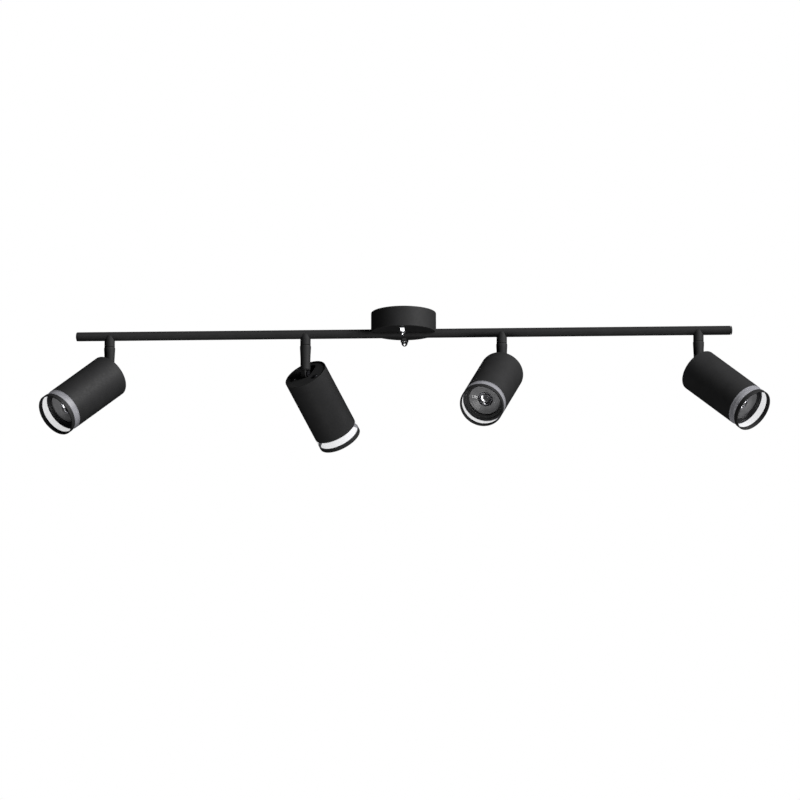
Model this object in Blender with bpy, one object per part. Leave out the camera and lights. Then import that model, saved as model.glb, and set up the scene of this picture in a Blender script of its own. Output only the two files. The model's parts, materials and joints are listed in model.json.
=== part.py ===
"""Ceiling spot bar: a round tube under a ceiling canopy, with four spots that swivel and tilt.

Frame: the origin is the centre of the ceiling plane, +X runs along the bar, +Z points up.
Each spot hangs from two empties, one on its swivel axis and one on its tilt axis.
"""

import math

import bmesh
import bpy

MM = 0.001

# Clearance kept between pieces that touch on the real fixture.
GAP = 0.3 * MM

# Bar and its end caps.
BAR_LENGTH = 808.0 * MM
BAR_DIAMETER = 11.2 * MM
BAR_WALL = 1.2 * MM
END_CAP_DOME = 2.2 * MM
END_CAP_PLUG = 6.0 * MM

# Canopy: a cup that is open at the ceiling, with a groove for the bar across its floor.
CANOPY_DIAMETER = 80.0 * MM
CANOPY_HEIGHT = 25.0 * MM
CANOPY_WALL = 1.5 * MM
CANOPY_EDGE = 0.8 * MM
BAR_BELOW_CANOPY = 0.8 * MM

# Mounting bracket and the cap nuts that close the canopy against it.
BRACKET_WIDTH = 18.0 * MM
BRACKET_THICKNESS = 1.2 * MM
BRACKET_END_CLEARANCE = 3.0 * MM
BRACKET_SLOT_WIDTH = 4.5 * MM
BRACKET_SLOT_LENGTH = 9.0 * MM
BRACKET_SLOT_FROM_STUD = 13.0 * MM
STUD_EDGE_INSET = 11.5 * MM
STUD_DIAMETER = 4.0 * MM
CAP_NUT_FLATS = 8.4 * MM
CAP_NUT_HEX_HEIGHT = 5.0 * MM
CAP_NUT_HEIGHT = 10.2 * MM
CAP_NUT_CROWN = 2.4 * MM

# Nipple that ties the bar to the canopy, and its lock nut.
NIPPLE_DIAMETER = 6.4 * MM
NIPPLE_BORE = 4.4 * MM
NIPPLE_PROUD = 1.5 * MM
LOCK_NUT_FLATS = 11.0 * MM
LOCK_NUT_HEIGHT = 3.0 * MM

# Terminal block, standing on the groove's back beside the lock nut.
BLOCK_WIDTH = 14.0 * MM
BLOCK_LENGTH = 26.0 * MM
BLOCK_HEIGHT = 11.0 * MM
BLOCK_FROM_NUT = 3.0 * MM
BLOCK_POLES = 3
BLOCK_WIRE_HOLE = 3.2 * MM

# Stems: a fixed socket under the bar, and an arm that swivels in it.
SPOT_COUNT = 4
END_OVERHANG = 41.8 * MM
SOCKET_PROUD = 0.8 * MM
SOCKET_WALL = 1.1 * MM
SOCKET_FLOOR = 2.5 * MM
SPIGOT_DIAMETER = 7.0 * MM
SPIGOT_PROUD = 0.8 * MM
SPIGOT_HEADROOM = 1.7 * MM
SWIVEL_NUT_FLATS = 8.6 * MM
SWIVEL_NUT_HEIGHT = 3.0 * MM
WIRE_BORE = 3.4 * MM
WIRE_BORE_OFFSET = 2.9 * MM
ARM_DIAMETER = 12.3 * MM
ARM_COLLAR_PROUD = 0.7 * MM
ARM_COLLAR_HEIGHT = 3.0 * MM
ARM_TAPER_HEIGHT = 14.0 * MM
ARM_DROP = 50.1 * MM

# Knuckle: the arm's tongue turns on a pin between the two ears of the yoke.
TONGUE_THICKNESS = 6.0 * MM
TONGUE_SHOULDER = 4.2 * MM
TILT_PIN_DIAMETER = 3.0 * MM
TILT_PIN_PROUD = 0.5 * MM
YOKE_EAR_THICKNESS = 1.6 * MM
YOKE_EAR_RADIUS = 3.5 * MM
YOKE_THICKNESS = 1.5 * MM
YOKE_FRONT_MARGIN = 4.0 * MM
KNUCKLE_CLEARANCE = 0.85 * MM
RIVET_OFFSET_BACK = 6.0 * MM
RIVET_FROM_BORE = 10.15 * MM
RIVET_DIAMETER = 3.6 * MM
RIVET_HEAD_DIAMETER = 7.4 * MM
RIVET_HEAD_HEIGHT = 1.2 * MM
RIVET_BOSS_DIAMETER = 7.0 * MM

# Spot: cap, shade, holder, lamp, baffle, clear ring and bezel, from the rear to the front.
REAR_CAP_RECESS = 1.5 * MM
REAR_CAP_THICKNESS = 1.5 * MM
SLOT_CLEARANCE = 0.5 * MM
SLOT_RIM = 4.2 * MM
LAMP_DIAMETER = 50.0 * MM
LAMP_LENGTH = 54.0 * MM
LAMP_RIM_HEIGHT = 5.0 * MM
LAMP_BASE_DIAMETER = 24.0 * MM
LAMP_BASE_HEIGHT = 14.0 * MM
LAMP_RIM_WALL = 3.0 * MM
LAMP_RECESS_DEPTH = 2.0 * MM
LAMP_PIN_SPACING = 10.0 * MM
LAMP_PIN_DIAMETER = 3.4 * MM
LAMP_PIN_LENGTH = 6.0 * MM
LAMP_PIN_CLEARANCE = 0.8 * MM
LAMP_CLEARANCE = 1.15 * MM
SHADE_WALL = 1.0 * MM
HOLDER_DIAMETER = 27.0 * MM
HOLDER_LENGTH = 21.3 * MM
HOLDER_BLIND = 4.0 * MM
BAFFLE_THICKNESS = 1.7 * MM
BAFFLE_COVER = 5.3 * MM
BAFFLE_GROOVE_WIDTH = 1.6 * MM
BAFFLE_GROOVE_DEPTH = 0.8 * MM
BAFFLE_GROOVE_INSET = 2.2 * MM
CLEAR_RING_LENGTH = 8.75 * MM
CLEAR_RING_WALL = 1.3 * MM
BEZEL_LENGTH = 5.45 * MM
BEZEL_WALL = 1.6 * MM
BEZEL_EDGE = 0.5 * MM

# Stored pose: the way each spot is turned (from +X, about +Z) and leant (from straight down).
SWIVEL_ANGLES = (221.0, 58.0, 253.8, -34.2)
TILT_ANGLES = (53.2, 47.5, 53.7, 52.5)

# Number of flats that stand for a full circle.
FLATS_CANOPY = 40
FLATS_SPOT = 28
FLATS_STEM = 18
FLATS_SMALL = 12
FLATS_TINY = 8
SMOOTH_ANGLE = math.radians(40.0)

# Sizes that follow from the ones above.
BAR_RADIUS = BAR_DIAMETER / 2
BAR_Z = -CANOPY_HEIGHT - BAR_BELOW_CANOPY
SADDLE_RADIUS = BAR_RADIUS + GAP + CANOPY_WALL
STUD_OFFSET = CANOPY_DIAMETER / 2 - STUD_EDGE_INSET
SOCKET_RADIUS = BAR_RADIUS + SOCKET_PROUD
SOCKET_DROP = (BAR_RADIUS + SPIGOT_HEADROOM + SPIGOT_PROUD + SWIVEL_NUT_HEIGHT
               + GAP + SOCKET_FLOOR)
SPIGOT_TOP = -BAR_RADIUS - SPIGOT_HEADROOM
SPOT_SPACING = (BAR_LENGTH - 2 * END_OVERHANG) / (SPOT_COUNT - 1)
ARM_RADIUS = ARM_DIAMETER / 2
SHADE_RADIUS = LAMP_DIAMETER / 2 + LAMP_CLEARANCE + SHADE_WALL
SHADE_BORE = SHADE_RADIUS - SHADE_WALL
SLOT_RADIUS = ARM_RADIUS + SLOT_CLEARANCE
SLOT_REACH = SHADE_BORE - GAP - SLOT_RIM - SLOT_RADIUS
RIVET_OFFSET_SIDE = SHADE_BORE - RIVET_FROM_BORE

# Stations along a spot's axis, measured from the pivot, which lies in the shade's rear plane,
# towards the front.
CAP_REAR = REAR_CAP_RECESS
CAP_FRONT = CAP_REAR + REAR_CAP_THICKNESS
YOKE_REAR = max(ARM_RADIUS + KNUCKLE_CLEARANCE, CAP_FRONT + GAP)
YOKE_FRONT = YOKE_REAR + YOKE_THICKNESS
HOLDER_REAR = YOKE_FRONT + GAP
HOLDER_FRONT = HOLDER_REAR + HOLDER_LENGTH
LAMP_REAR = HOLDER_FRONT + GAP
LAMP_FRONT = LAMP_REAR + LAMP_LENGTH
BAFFLE_REAR = LAMP_FRONT + GAP
BAFFLE_FRONT = BAFFLE_REAR + BAFFLE_THICKNESS
RING_REAR = BAFFLE_FRONT + GAP
RING_FRONT = RING_REAR + CLEAR_RING_LENGTH
BEZEL_REAR = RING_FRONT + GAP
BEZEL_FRONT = BEZEL_REAR + BEZEL_LENGTH


def clear_scene():
    """Remove every object that the file holds."""
    for thing in list(bpy.data.objects):
        bpy.data.objects.remove(thing, do_unlink=True)


def make_material(name, color, roughness, metallic=0.0, transmission=0.0):
    """Return a Principled BSDF material."""
    material = bpy.data.materials.new(name)
    material.use_nodes = True
    shader = material.node_tree.nodes["Principled BSDF"]
    shader.inputs["Base Color"].default_value = (*color, 1.0)
    shader.inputs["Roughness"].default_value = roughness
    shader.inputs["Metallic"].default_value = metallic
    shader.inputs["Transmission Weight"].default_value = transmission
    return material


def make_materials():
    """Return the fixture's materials by name."""
    return {
        "black_paint": make_material("black_paint", (0.020, 0.020, 0.021), 0.45, 0.2),
        "chrome": make_material("chrome", (0.80, 0.80, 0.82), 0.12, 1.0),
        "zinc_steel": make_material("zinc_steel", (0.55, 0.56, 0.56), 0.35, 1.0),
        "ceramic": make_material("ceramic", (0.82, 0.80, 0.75), 0.55),
        "terminal_plastic": make_material("terminal_plastic", (0.85, 0.85, 0.82), 0.4),
        "lamp_body": make_material("lamp_body", (0.35, 0.35, 0.36), 0.3, 0.3),
        "clear_acrylic": make_material("clear_acrylic", (0.95, 0.95, 0.97), 0.05, 0.0, 0.95),
    }


def make_empty(name, location, rotation=(0.0, 0.0, 0.0), parent=None):
    """Return an empty that carries the pieces of one joint."""
    empty = bpy.data.objects.new(name, None)
    bpy.context.collection.objects.link(empty)
    empty.parent = parent
    empty.location = location
    empty.rotation_euler = rotation
    return empty


def add_object(name, mesh, material=None, location=(0.0, 0.0, 0.0), parent=None):
    """Put a mesh in the scene, shaded smooth where its faces nearly agree."""
    mesh.shade_smooth()
    mesh.set_sharp_from_angle(angle=SMOOTH_ANGLE)
    piece = bpy.data.objects.new(name, mesh)
    bpy.context.collection.objects.link(piece)
    piece.parent = parent
    piece.location = location
    if material is not None:
        mesh.materials.append(material)
    return piece


def turned_mesh(name, profile, flats):
    """Turn a closed profile of (radius, z) points about Z.

    The points run down the outer side, from top to bottom, and back up the inner side or
    the axis. A point on the axis becomes one vertex. The first edge stands half a flat off
    the X axis, so that no edge of two crossing pieces falls on the same plane.
    """
    form = bmesh.new()
    rings = []
    for radius, z in profile:
        if radius == 0.0:
            rings.append([form.verts.new((0.0, 0.0, z))])
            continue
        turns = (2 * math.pi * (step + 0.5) / flats for step in range(flats))
        rings.append([form.verts.new((radius * math.cos(turn), radius * math.sin(turn), z))
                      for turn in turns])
    for upper, lower in zip(rings, rings[1:] + rings[:1]):
        if len(upper) == 1 and len(lower) == 1:
            continue
        for step in range(flats):
            after = (step + 1) % flats
            corners = [upper[step % len(upper)], lower[step % len(lower)],
                       lower[after % len(lower)], upper[after % len(upper)]]
            form.faces.new(list(dict.fromkeys(corners)))
    return finish_mesh(name, form)


def block_mesh(name, low, high):
    """Return a box between two corners."""
    form = bmesh.new()
    bmesh.ops.create_cube(form, size=1.0)
    for vert in form.verts:
        vert.co = [low[axis] + (vert.co[axis] + 0.5) * (high[axis] - low[axis])
                   for axis in range(3)]
    return finish_mesh(name, form)


def prism_mesh(name, outline, low, high):
    """Extrude an outline of (x, y) points, given counter-clockwise, from z = low to high."""
    form = bmesh.new()
    base = form.faces.new([form.verts.new((x, y, low)) for x, y in outline])
    grown = bmesh.ops.extrude_face_region(form, geom=[base])
    top = [item for item in grown["geom"] if isinstance(item, bmesh.types.BMVert)]
    bmesh.ops.translate(form, verts=top, vec=(0.0, 0.0, high - low))
    bmesh.ops.recalc_face_normals(form, faces=form.faces[:])
    return finish_mesh(name, form)


def finish_mesh(name, form):
    """Write a bmesh into a new mesh."""
    mesh = bpy.data.meshes.new(name)
    form.to_mesh(mesh)
    form.free()
    return mesh


def arc_points(centre, radius, start, end, steps):
    """Return points on an arc, with both ends. Angles are in degrees."""
    points = []
    for step in range(steps + 1):
        turn = math.radians(start + (end - start) * step / steps)
        points.append((centre[0] + radius * math.cos(turn), centre[1] + radius * math.sin(turn)))
    return points


def capsule_outline(start, end, radius, steps=FLATS_SMALL // 2):
    """Return the outline round two circles on the X axis, centred at x = start and x = end."""
    return (arc_points((end, 0.0), radius, -90.0, 90.0, steps)
            + arc_points((start, 0.0), radius, 90.0, 270.0, steps))


def hexagon_outline(across_flats):
    """Return a hexagon, with two of its flats facing Y."""
    return arc_points((0.0, 0.0), across_flats / math.sqrt(3.0), 0.0, 300.0, 5)


def rod_mesh(name, radius, low, high, flats):
    """Return a round rod along Z."""
    profile = [(0.0, high), (radius, high), (radius, low), (0.0, low)]
    return turned_mesh(name, profile, flats)


def carve(piece, mesh, operation="DIFFERENCE", location=(0.0, 0.0, 0.0), rotation=(0.0, 0.0, 0.0)):
    """Cut a mesh out of a piece, or join it on. The place is in the piece's own frame."""
    tool = bpy.data.objects.new(mesh.name, mesh)
    bpy.context.collection.objects.link(tool)
    tool.parent = piece
    tool.location = location
    tool.rotation_euler = rotation
    tool.hide_render = True
    tool.display_type = "WIRE"
    modifier = piece.modifiers.new(mesh.name, "BOOLEAN")
    modifier.object = tool
    modifier.operation = operation
    modifier.solver = "EXACT"


ALONG_X = (0.0, math.pi / 2, 0.0)
ALONG_Y = (math.pi / 2, 0.0, 0.0)


def make_canopy(materials):
    """Cup with a flat floor, a bar groove with a raised back, a wire hole and two stud holes."""
    outer = CANOPY_DIAMETER / 2
    inner = outer - CANOPY_WALL
    floor = -CANOPY_HEIGHT + CANOPY_WALL
    shell = [(outer - CANOPY_EDGE, 0.0), (outer, -CANOPY_EDGE),
             (outer, -CANOPY_HEIGHT + CANOPY_EDGE), (outer - CANOPY_EDGE, -CANOPY_HEIGHT),
             (0.0, -CANOPY_HEIGHT), (0.0, floor), (inner, floor), (inner, 0.0)]
    canopy = add_object("canopy", turned_mesh("canopy", shell, FLATS_CANOPY),
                        materials["black_paint"])
    half = (inner + outer) / 2
    carve(canopy, rod_mesh("saddle_form", SADDLE_RADIUS, -half, half, FLATS_STEM), "UNION",
          (0.0, 0.0, BAR_Z), ALONG_X)
    drop = (0.0, 0.0, -CANOPY_HEIGHT)
    carve(canopy, block_mesh("under_floor", (-outer, -2 * SADDLE_RADIUS, -2 * SADDLE_RADIUS),
                             (outer, 2 * SADDLE_RADIUS, 0.0)), location=drop)
    carve(canopy, rod_mesh("bar_groove", BAR_RADIUS + GAP, -2 * outer, 2 * outer, FLATS_STEM),
          location=(0.0, 0.0, BAR_Z), rotation=ALONG_X)
    carve(canopy, rod_mesh("nipple_hole", NIPPLE_DIAMETER / 2 + GAP, BAR_Z, 0.0, FLATS_SMALL))
    for side in (-1, 1):
        hole = rod_mesh("stud_hole", STUD_DIAMETER / 2 + 2 * GAP, -2 * CANOPY_WALL,
                        2 * CANOPY_WALL, FLATS_TINY)
        carve(canopy, hole, location=(0.0, side * STUD_OFFSET, -CANOPY_HEIGHT))


def make_bracket(materials):
    """Steel strip against the ceiling, with two screw slots and two hanging studs."""
    half = CANOPY_DIAMETER / 2 - CANOPY_WALL - BRACKET_END_CLEARANCE
    round_end = BRACKET_WIDTH / 2
    outline = capsule_outline(-half + round_end, half - round_end, round_end)
    outline = [(-y, x) for x, y in outline]
    bracket = add_object("mounting_bracket",
                         prism_mesh("mounting_bracket", outline, -BRACKET_THICKNESS, 0.0),
                         materials["zinc_steel"])
    stud_end = CANOPY_HEIGHT + GAP + CAP_NUT_HEIGHT - CAP_NUT_CROWN - GAP
    slot_half = (BRACKET_SLOT_LENGTH - BRACKET_SLOT_WIDTH) / 2
    for side in (-1, 1):
        stud = rod_mesh("stud", STUD_DIAMETER / 2, -stud_end, -BRACKET_THICKNESS / 2, FLATS_TINY)
        carve(bracket, stud, "UNION", (0.0, side * STUD_OFFSET, 0.0))
        slot = prism_mesh("ceiling_slot",
                          capsule_outline(-slot_half, slot_half, BRACKET_SLOT_WIDTH / 2),
                          -2 * BRACKET_THICKNESS, BRACKET_THICKNESS)
        carve(bracket, slot, location=(0.0, side * (STUD_OFFSET - BRACKET_SLOT_FROM_STUD), 0.0))


def make_cap_nut(name, offset, materials):
    """Hexagon with a domed end and a blind bore for the stud."""
    hexagon = prism_mesh(name, hexagon_outline(CAP_NUT_FLATS), -CAP_NUT_HEX_HEIGHT, 0.0)
    nut = add_object(name, hexagon, materials["chrome"],
                     (0.0, offset, -CANOPY_HEIGHT - GAP))
    dome_radius = CAP_NUT_FLATS / 2 - GAP
    dome_height = CAP_NUT_HEIGHT - CAP_NUT_HEX_HEIGHT
    rings = arc_points((0.0, 0.0), 1.0, 0.0, 90.0, FLATS_SMALL // 4)
    dome = [(dome_radius * across, -CAP_NUT_HEX_HEIGHT - dome_height * down)
            for across, down in rings[:-1]]
    dome = [(0.0, -CAP_NUT_HEX_HEIGHT / 2), (dome_radius, -CAP_NUT_HEX_HEIGHT / 2),
            *dome, (0.0, -CAP_NUT_HEIGHT)]
    carve(nut, turned_mesh("nut_dome", dome, FLATS_SMALL), "UNION")
    carve(nut, rod_mesh("nut_bore", STUD_DIAMETER / 2 + GAP, -CAP_NUT_HEIGHT + CAP_NUT_CROWN,
                        GAP, FLATS_TINY))


def make_nipple(materials):
    """Hollow nipple from the bar's bore up into the canopy, and its lock nut."""
    saddle_top = BAR_Z + SADDLE_RADIUS
    nut_low = saddle_top + GAP
    top = nut_low + LOCK_NUT_HEIGHT + NIPPLE_PROUD
    low = BAR_Z + BAR_RADIUS - 2 * BAR_WALL
    radius = NIPPLE_DIAMETER / 2
    profile = [(radius, top), (radius, low), (NIPPLE_BORE / 2, low), (NIPPLE_BORE / 2, top)]
    add_object("bar_nipple", turned_mesh("bar_nipple", profile, FLATS_SMALL),
               materials["zinc_steel"])
    lock_nut = add_object("bar_lock_nut",
                          prism_mesh("bar_lock_nut", hexagon_outline(LOCK_NUT_FLATS),
                                     nut_low, nut_low + LOCK_NUT_HEIGHT),
                          materials["zinc_steel"])
    carve(lock_nut, rod_mesh("lock_nut_bore", radius + GAP, nut_low - GAP,
                             nut_low + LOCK_NUT_HEIGHT + GAP, FLATS_SMALL))


def make_terminal_block(materials):
    """Block with a row of poles, each with a wire way through and a screw well on top."""
    low = BAR_Z + SADDLE_RADIUS + GAP
    near = -LOCK_NUT_FLATS / math.sqrt(3.0) - BLOCK_FROM_NUT
    block = add_object("terminal_block",
                       block_mesh("terminal_block", (-BLOCK_WIDTH / 2, -BLOCK_LENGTH / 2, 0.0),
                                  (BLOCK_WIDTH / 2, BLOCK_LENGTH / 2, BLOCK_HEIGHT)),
                       materials["terminal_plastic"],
                       (near - BLOCK_WIDTH / 2, 0.0, low))
    pitch = BLOCK_LENGTH / BLOCK_POLES
    hole = BLOCK_WIRE_HOLE / 2
    for pole in range(BLOCK_POLES):
        place = (pole - (BLOCK_POLES - 1) / 2) * pitch
        way = rod_mesh("wire_way", hole, -BLOCK_WIDTH, BLOCK_WIDTH, FLATS_TINY)
        carve(block, way, location=(0.0, place, BLOCK_HEIGHT / 2), rotation=ALONG_X)
        well = rod_mesh("screw_well", hole, BLOCK_HEIGHT / 2, 2 * BLOCK_HEIGHT, FLATS_TINY)
        carve(block, well, location=(0.0, place, 0.0))


def stem_places():
    """Return the place of each stem along the bar."""
    return [(index - (SPOT_COUNT - 1) / 2) * SPOT_SPACING for index in range(SPOT_COUNT)]


def make_bar(materials):
    """Tube with a wire hole on top for the nipple and one underneath at each stem."""
    half = BAR_LENGTH / 2 - END_CAP_DOME - GAP
    bore = BAR_RADIUS - BAR_WALL
    profile = [(BAR_RADIUS, half), (BAR_RADIUS, -half), (bore, -half), (bore, half)]
    bar = add_object("bar_tube", turned_mesh("bar_tube", profile, FLATS_STEM),
                     materials["black_paint"], (0.0, 0.0, BAR_Z))
    bar.rotation_euler = ALONG_X
    # The tube is turned to lie along X, so its own +X faces down and its own -X faces up.
    top = rod_mesh("nipple_way", NIPPLE_DIAMETER / 2 + GAP, -2 * BAR_RADIUS, 0.0, FLATS_SMALL)
    carve(bar, top, rotation=ALONG_X)
    for place in stem_places():
        way = rod_mesh("stem_wire_hole", WIRE_BORE / 2, 0.0, 2 * BAR_RADIUS, FLATS_TINY)
        carve(bar, way, location=(0.0, 0.0, place), rotation=ALONG_X)


def make_end_cap(name, side, materials):
    """Domed cap with a plug that sits in the end of the bar."""
    seat = BAR_LENGTH / 2 - END_CAP_DOME
    plug = BAR_RADIUS - BAR_WALL - GAP
    rings = arc_points((0.0, 0.0), 1.0, 90.0, 0.0, FLATS_SMALL // 4)
    dome = [(BAR_RADIUS * across, seat + END_CAP_DOME * down) for across, down in rings[1:]]
    profile = [(0.0, BAR_LENGTH / 2), *dome, (plug, seat), (plug, seat - END_CAP_PLUG),
               (0.0, seat - END_CAP_PLUG)]
    cap = add_object(name, turned_mesh(name, profile, FLATS_STEM), materials["black_paint"],
                     (0.0, 0.0, BAR_Z))
    cap.rotation_euler = (0.0, side * math.pi / 2, 0.0)


def make_socket(index, place, materials):
    """Cup that embraces the bar's lower half and holds the arm's spigot in its floor."""
    name = f"stem_socket_{index}"
    inner = SOCKET_RADIUS - SOCKET_WALL
    hole = SPIGOT_DIAMETER / 2 + GAP
    floor = -SOCKET_DROP + SOCKET_FLOOR
    profile = [(SOCKET_RADIUS, 0.0), (SOCKET_RADIUS, -SOCKET_DROP), (hole, -SOCKET_DROP),
               (hole, floor), (inner, floor), (inner, 0.0)]
    socket = add_object(name, turned_mesh(name, profile, FLATS_STEM), materials["black_paint"],
                        (place, 0.0, BAR_Z))
    carve(socket, rod_mesh("bar_saddle", BAR_RADIUS + GAP, -2 * SOCKET_RADIUS,
                           2 * SOCKET_RADIUS, FLATS_STEM), rotation=ALONG_X)


def make_arm(index, swivel, materials):
    """Arm with a spigot, a collar, a tapered shank and a rounded tongue, bored for the lead."""
    name = f"swivel_arm_{index}"
    collar_top = -SOCKET_DROP - GAP
    collar = ARM_RADIUS + ARM_COLLAR_PROUD
    spigot = SPIGOT_DIAMETER / 2
    shoulder = -ARM_DROP + TONGUE_SHOULDER
    profile = [(0.0, SPIGOT_TOP), (spigot, SPIGOT_TOP), (spigot, collar_top),
               (collar - ARM_COLLAR_PROUD, collar_top), (collar, collar_top - ARM_COLLAR_PROUD),
               (collar, collar_top - ARM_COLLAR_HEIGHT),
               (ARM_RADIUS, collar_top - ARM_COLLAR_HEIGHT - ARM_TAPER_HEIGHT),
               (ARM_RADIUS, shoulder + ARM_RADIUS / 4), (ARM_RADIUS * 0.9, shoulder),
               (0.0, shoulder)]
    arm = add_object(name, turned_mesh(name, profile, FLATS_STEM), materials["black_paint"],
                     parent=swivel)
    tongue_radius = ARM_RADIUS * 0.85
    rise = TONGUE_SHOULDER + GAP
    outline = [(tongue_radius, rise), (-tongue_radius, rise),
               *arc_points((0.0, 0.0), tongue_radius, 180.0, 360.0, FLATS_SMALL // 2)]
    tongue = prism_mesh("tongue", outline, -TONGUE_THICKNESS / 2, TONGUE_THICKNESS / 2)
    carve(arm, tongue, "UNION", (0.0, 0.0, -ARM_DROP), ALONG_Y)
    carve(arm, rod_mesh("pin_bore", TILT_PIN_DIAMETER / 2 + GAP, -ARM_RADIUS, ARM_RADIUS,
                        FLATS_TINY), location=(0.0, 0.0, -ARM_DROP), rotation=ALONG_Y)
    crossing = collar_top - ARM_COLLAR_HEIGHT - ARM_TAPER_HEIGHT / 2
    carve(arm, rod_mesh("wire_bore_upper", WIRE_BORE / 2, crossing, SPIGOT_TOP + GAP, FLATS_TINY))
    carve(arm, rod_mesh("wire_bore_lower", WIRE_BORE / 2, -ARM_DROP - ARM_RADIUS,
                        crossing + WIRE_BORE, FLATS_TINY), location=(-WIRE_BORE_OFFSET, 0.0, 0.0))


def make_swivel_nut(index, swivel, materials):
    """Nut on the arm's spigot, above the socket's floor."""
    name = f"swivel_nut_{index}"
    low = -SOCKET_DROP + SOCKET_FLOOR + GAP
    high = low + SWIVEL_NUT_HEIGHT
    nut = add_object(name, prism_mesh(name, hexagon_outline(SWIVEL_NUT_FLATS), low, high),
                     materials["zinc_steel"], parent=swivel)
    carve(nut, rod_mesh("nut_bore", SPIGOT_DIAMETER / 2 + GAP, low - GAP, high + GAP, FLATS_SMALL))


def make_tilt_pin(index, tilt, materials):
    """Pin across the knuckle, through both ears and the tongue."""
    name = f"tilt_pin_{index}"
    half = TONGUE_THICKNESS / 2 + GAP + YOKE_EAR_THICKNESS + TILT_PIN_PROUD
    pin = add_object(name, rod_mesh(name, TILT_PIN_DIAMETER / 2, -half, half, FLATS_TINY),
                     materials["zinc_steel"], parent=tilt)
    pin.rotation_euler = ALONG_Y


def make_yoke(index, tilt, materials):
    """Plate with two ears for the pin and two bosses riveted through the rear cap."""
    name = f"pivot_yoke_{index}"
    back = RIVET_OFFSET_BACK + RIVET_BOSS_DIAMETER / 2
    side = RIVET_OFFSET_SIDE + RIVET_BOSS_DIAMETER / 2
    front = YOKE_EAR_RADIUS + YOKE_FRONT_MARGIN
    yoke = add_object(name, block_mesh(name, (-back, -side, -YOKE_FRONT),
                                       (front, side, -YOKE_REAR)),
                      materials["zinc_steel"], parent=tilt)
    ear = [(YOKE_EAR_RADIUS, -YOKE_REAR - YOKE_THICKNESS / 2),
           *arc_points((0.0, 0.0), YOKE_EAR_RADIUS, 0.0, 180.0, FLATS_SMALL // 2),
           (-YOKE_EAR_RADIUS, -YOKE_REAR - YOKE_THICKNESS / 2)]
    inner = TONGUE_THICKNESS / 2 + GAP
    outer = inner + YOKE_EAR_THICKNESS
    for low, high in ((-outer, -inner), (inner, outer)):
        carve(yoke, prism_mesh("ear", ear, low, high), "UNION", rotation=ALONG_Y)
    bore = rod_mesh("ear_bore", TILT_PIN_DIAMETER / 2 + GAP, -2 * outer, 2 * outer, FLATS_TINY)
    carve(yoke, bore, rotation=ALONG_Y)
    boss = RIVET_BOSS_DIAMETER / 2
    shank = RIVET_DIAMETER / 2
    head = RIVET_HEAD_DIAMETER / 2
    boss_top = -CAP_FRONT - GAP
    head_low = -CAP_REAR + GAP
    rivet = [(0.0, head_low + RIVET_HEAD_HEIGHT), (head * 0.7, head_low + RIVET_HEAD_HEIGHT),
             (head, head_low + RIVET_HEAD_HEIGHT / 2), (head, head_low), (shank, head_low),
             (shank, boss_top), (boss, boss_top), (boss, -YOKE_REAR - YOKE_THICKNESS / 2),
             (0.0, -YOKE_REAR - YOKE_THICKNESS / 2)]
    for sign in (-1, 1):
        carve(yoke, turned_mesh("rivet", rivet, FLATS_SMALL), "UNION",
              (-RIVET_OFFSET_BACK, sign * RIVET_OFFSET_SIDE, 0.0))


def make_rear_cap(index, tilt, materials):
    """Disc with the slot that the arm moves in and two rivet holes."""
    name = f"rear_cap_{index}"
    cap = add_object(name, rod_mesh(name, SHADE_BORE - GAP, -CAP_FRONT, -CAP_REAR, FLATS_SPOT),
                     materials["black_paint"], parent=tilt)
    slot = capsule_outline(0.0, SLOT_REACH, SLOT_RADIUS)
    carve(cap, prism_mesh("arm_slot", slot, -CAP_FRONT - GAP, -CAP_REAR + GAP))
    for sign in (-1, 1):
        hole = rod_mesh("rivet_hole", RIVET_DIAMETER / 2 + GAP, -CAP_FRONT - GAP,
                        -CAP_REAR + GAP, FLATS_TINY)
        carve(cap, hole, location=(-RIVET_OFFSET_BACK, sign * RIVET_OFFSET_SIDE, 0.0))


def make_tube(name, outer, inner, rear, front, tilt, material, edge=0.0):
    """Ring or tube round the spot's axis, with an optional bevel on its outer front edge."""
    profile = [(outer, -rear), (outer, -front + edge), (outer - edge, -front), (inner, -front),
               (inner, -rear)]
    if edge == 0.0:
        del profile[1]
    return add_object(name, turned_mesh(name, profile, FLATS_SPOT), material, parent=tilt)


def make_baffle(index, tilt, materials):
    """Flat ring that closes the shade round the lamp, with a groove in its front face."""
    name = f"baffle_ring_{index}"
    outer = SHADE_BORE - GAP
    inner = LAMP_DIAMETER / 2 - BAFFLE_COVER
    groove_outer = outer - BAFFLE_GROOVE_INSET
    groove_inner = groove_outer - BAFFLE_GROOVE_WIDTH
    groove_floor = -BAFFLE_FRONT + BAFFLE_GROOVE_DEPTH
    profile = [(outer, -BAFFLE_REAR), (outer, -BAFFLE_FRONT), (groove_outer, -BAFFLE_FRONT),
               (groove_outer, groove_floor), (groove_inner, groove_floor),
               (groove_inner, -BAFFLE_FRONT), (inner, -BAFFLE_FRONT), (inner, -BAFFLE_REAR)]
    add_object(name, turned_mesh(name, profile, FLATS_SPOT), materials["black_paint"], parent=tilt)


def make_holder(index, tilt, materials):
    """Round lamp holder with two blind keyholes for the lamp's pins."""
    name = f"lamp_holder_{index}"
    holder = add_object(name, rod_mesh(name, HOLDER_DIAMETER / 2, -HOLDER_FRONT, -HOLDER_REAR,
                                       FLATS_STEM), materials["ceramic"], parent=tilt)
    for sign in (-1, 1):
        hole = rod_mesh("pin_hole", LAMP_PIN_DIAMETER / 2 + LAMP_PIN_CLEARANCE,
                        -HOLDER_FRONT - GAP, -HOLDER_REAR - HOLDER_BLIND, FLATS_TINY)
        carve(holder, hole, location=(0.0, sign * LAMP_PIN_SPACING / 2, 0.0))


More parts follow.
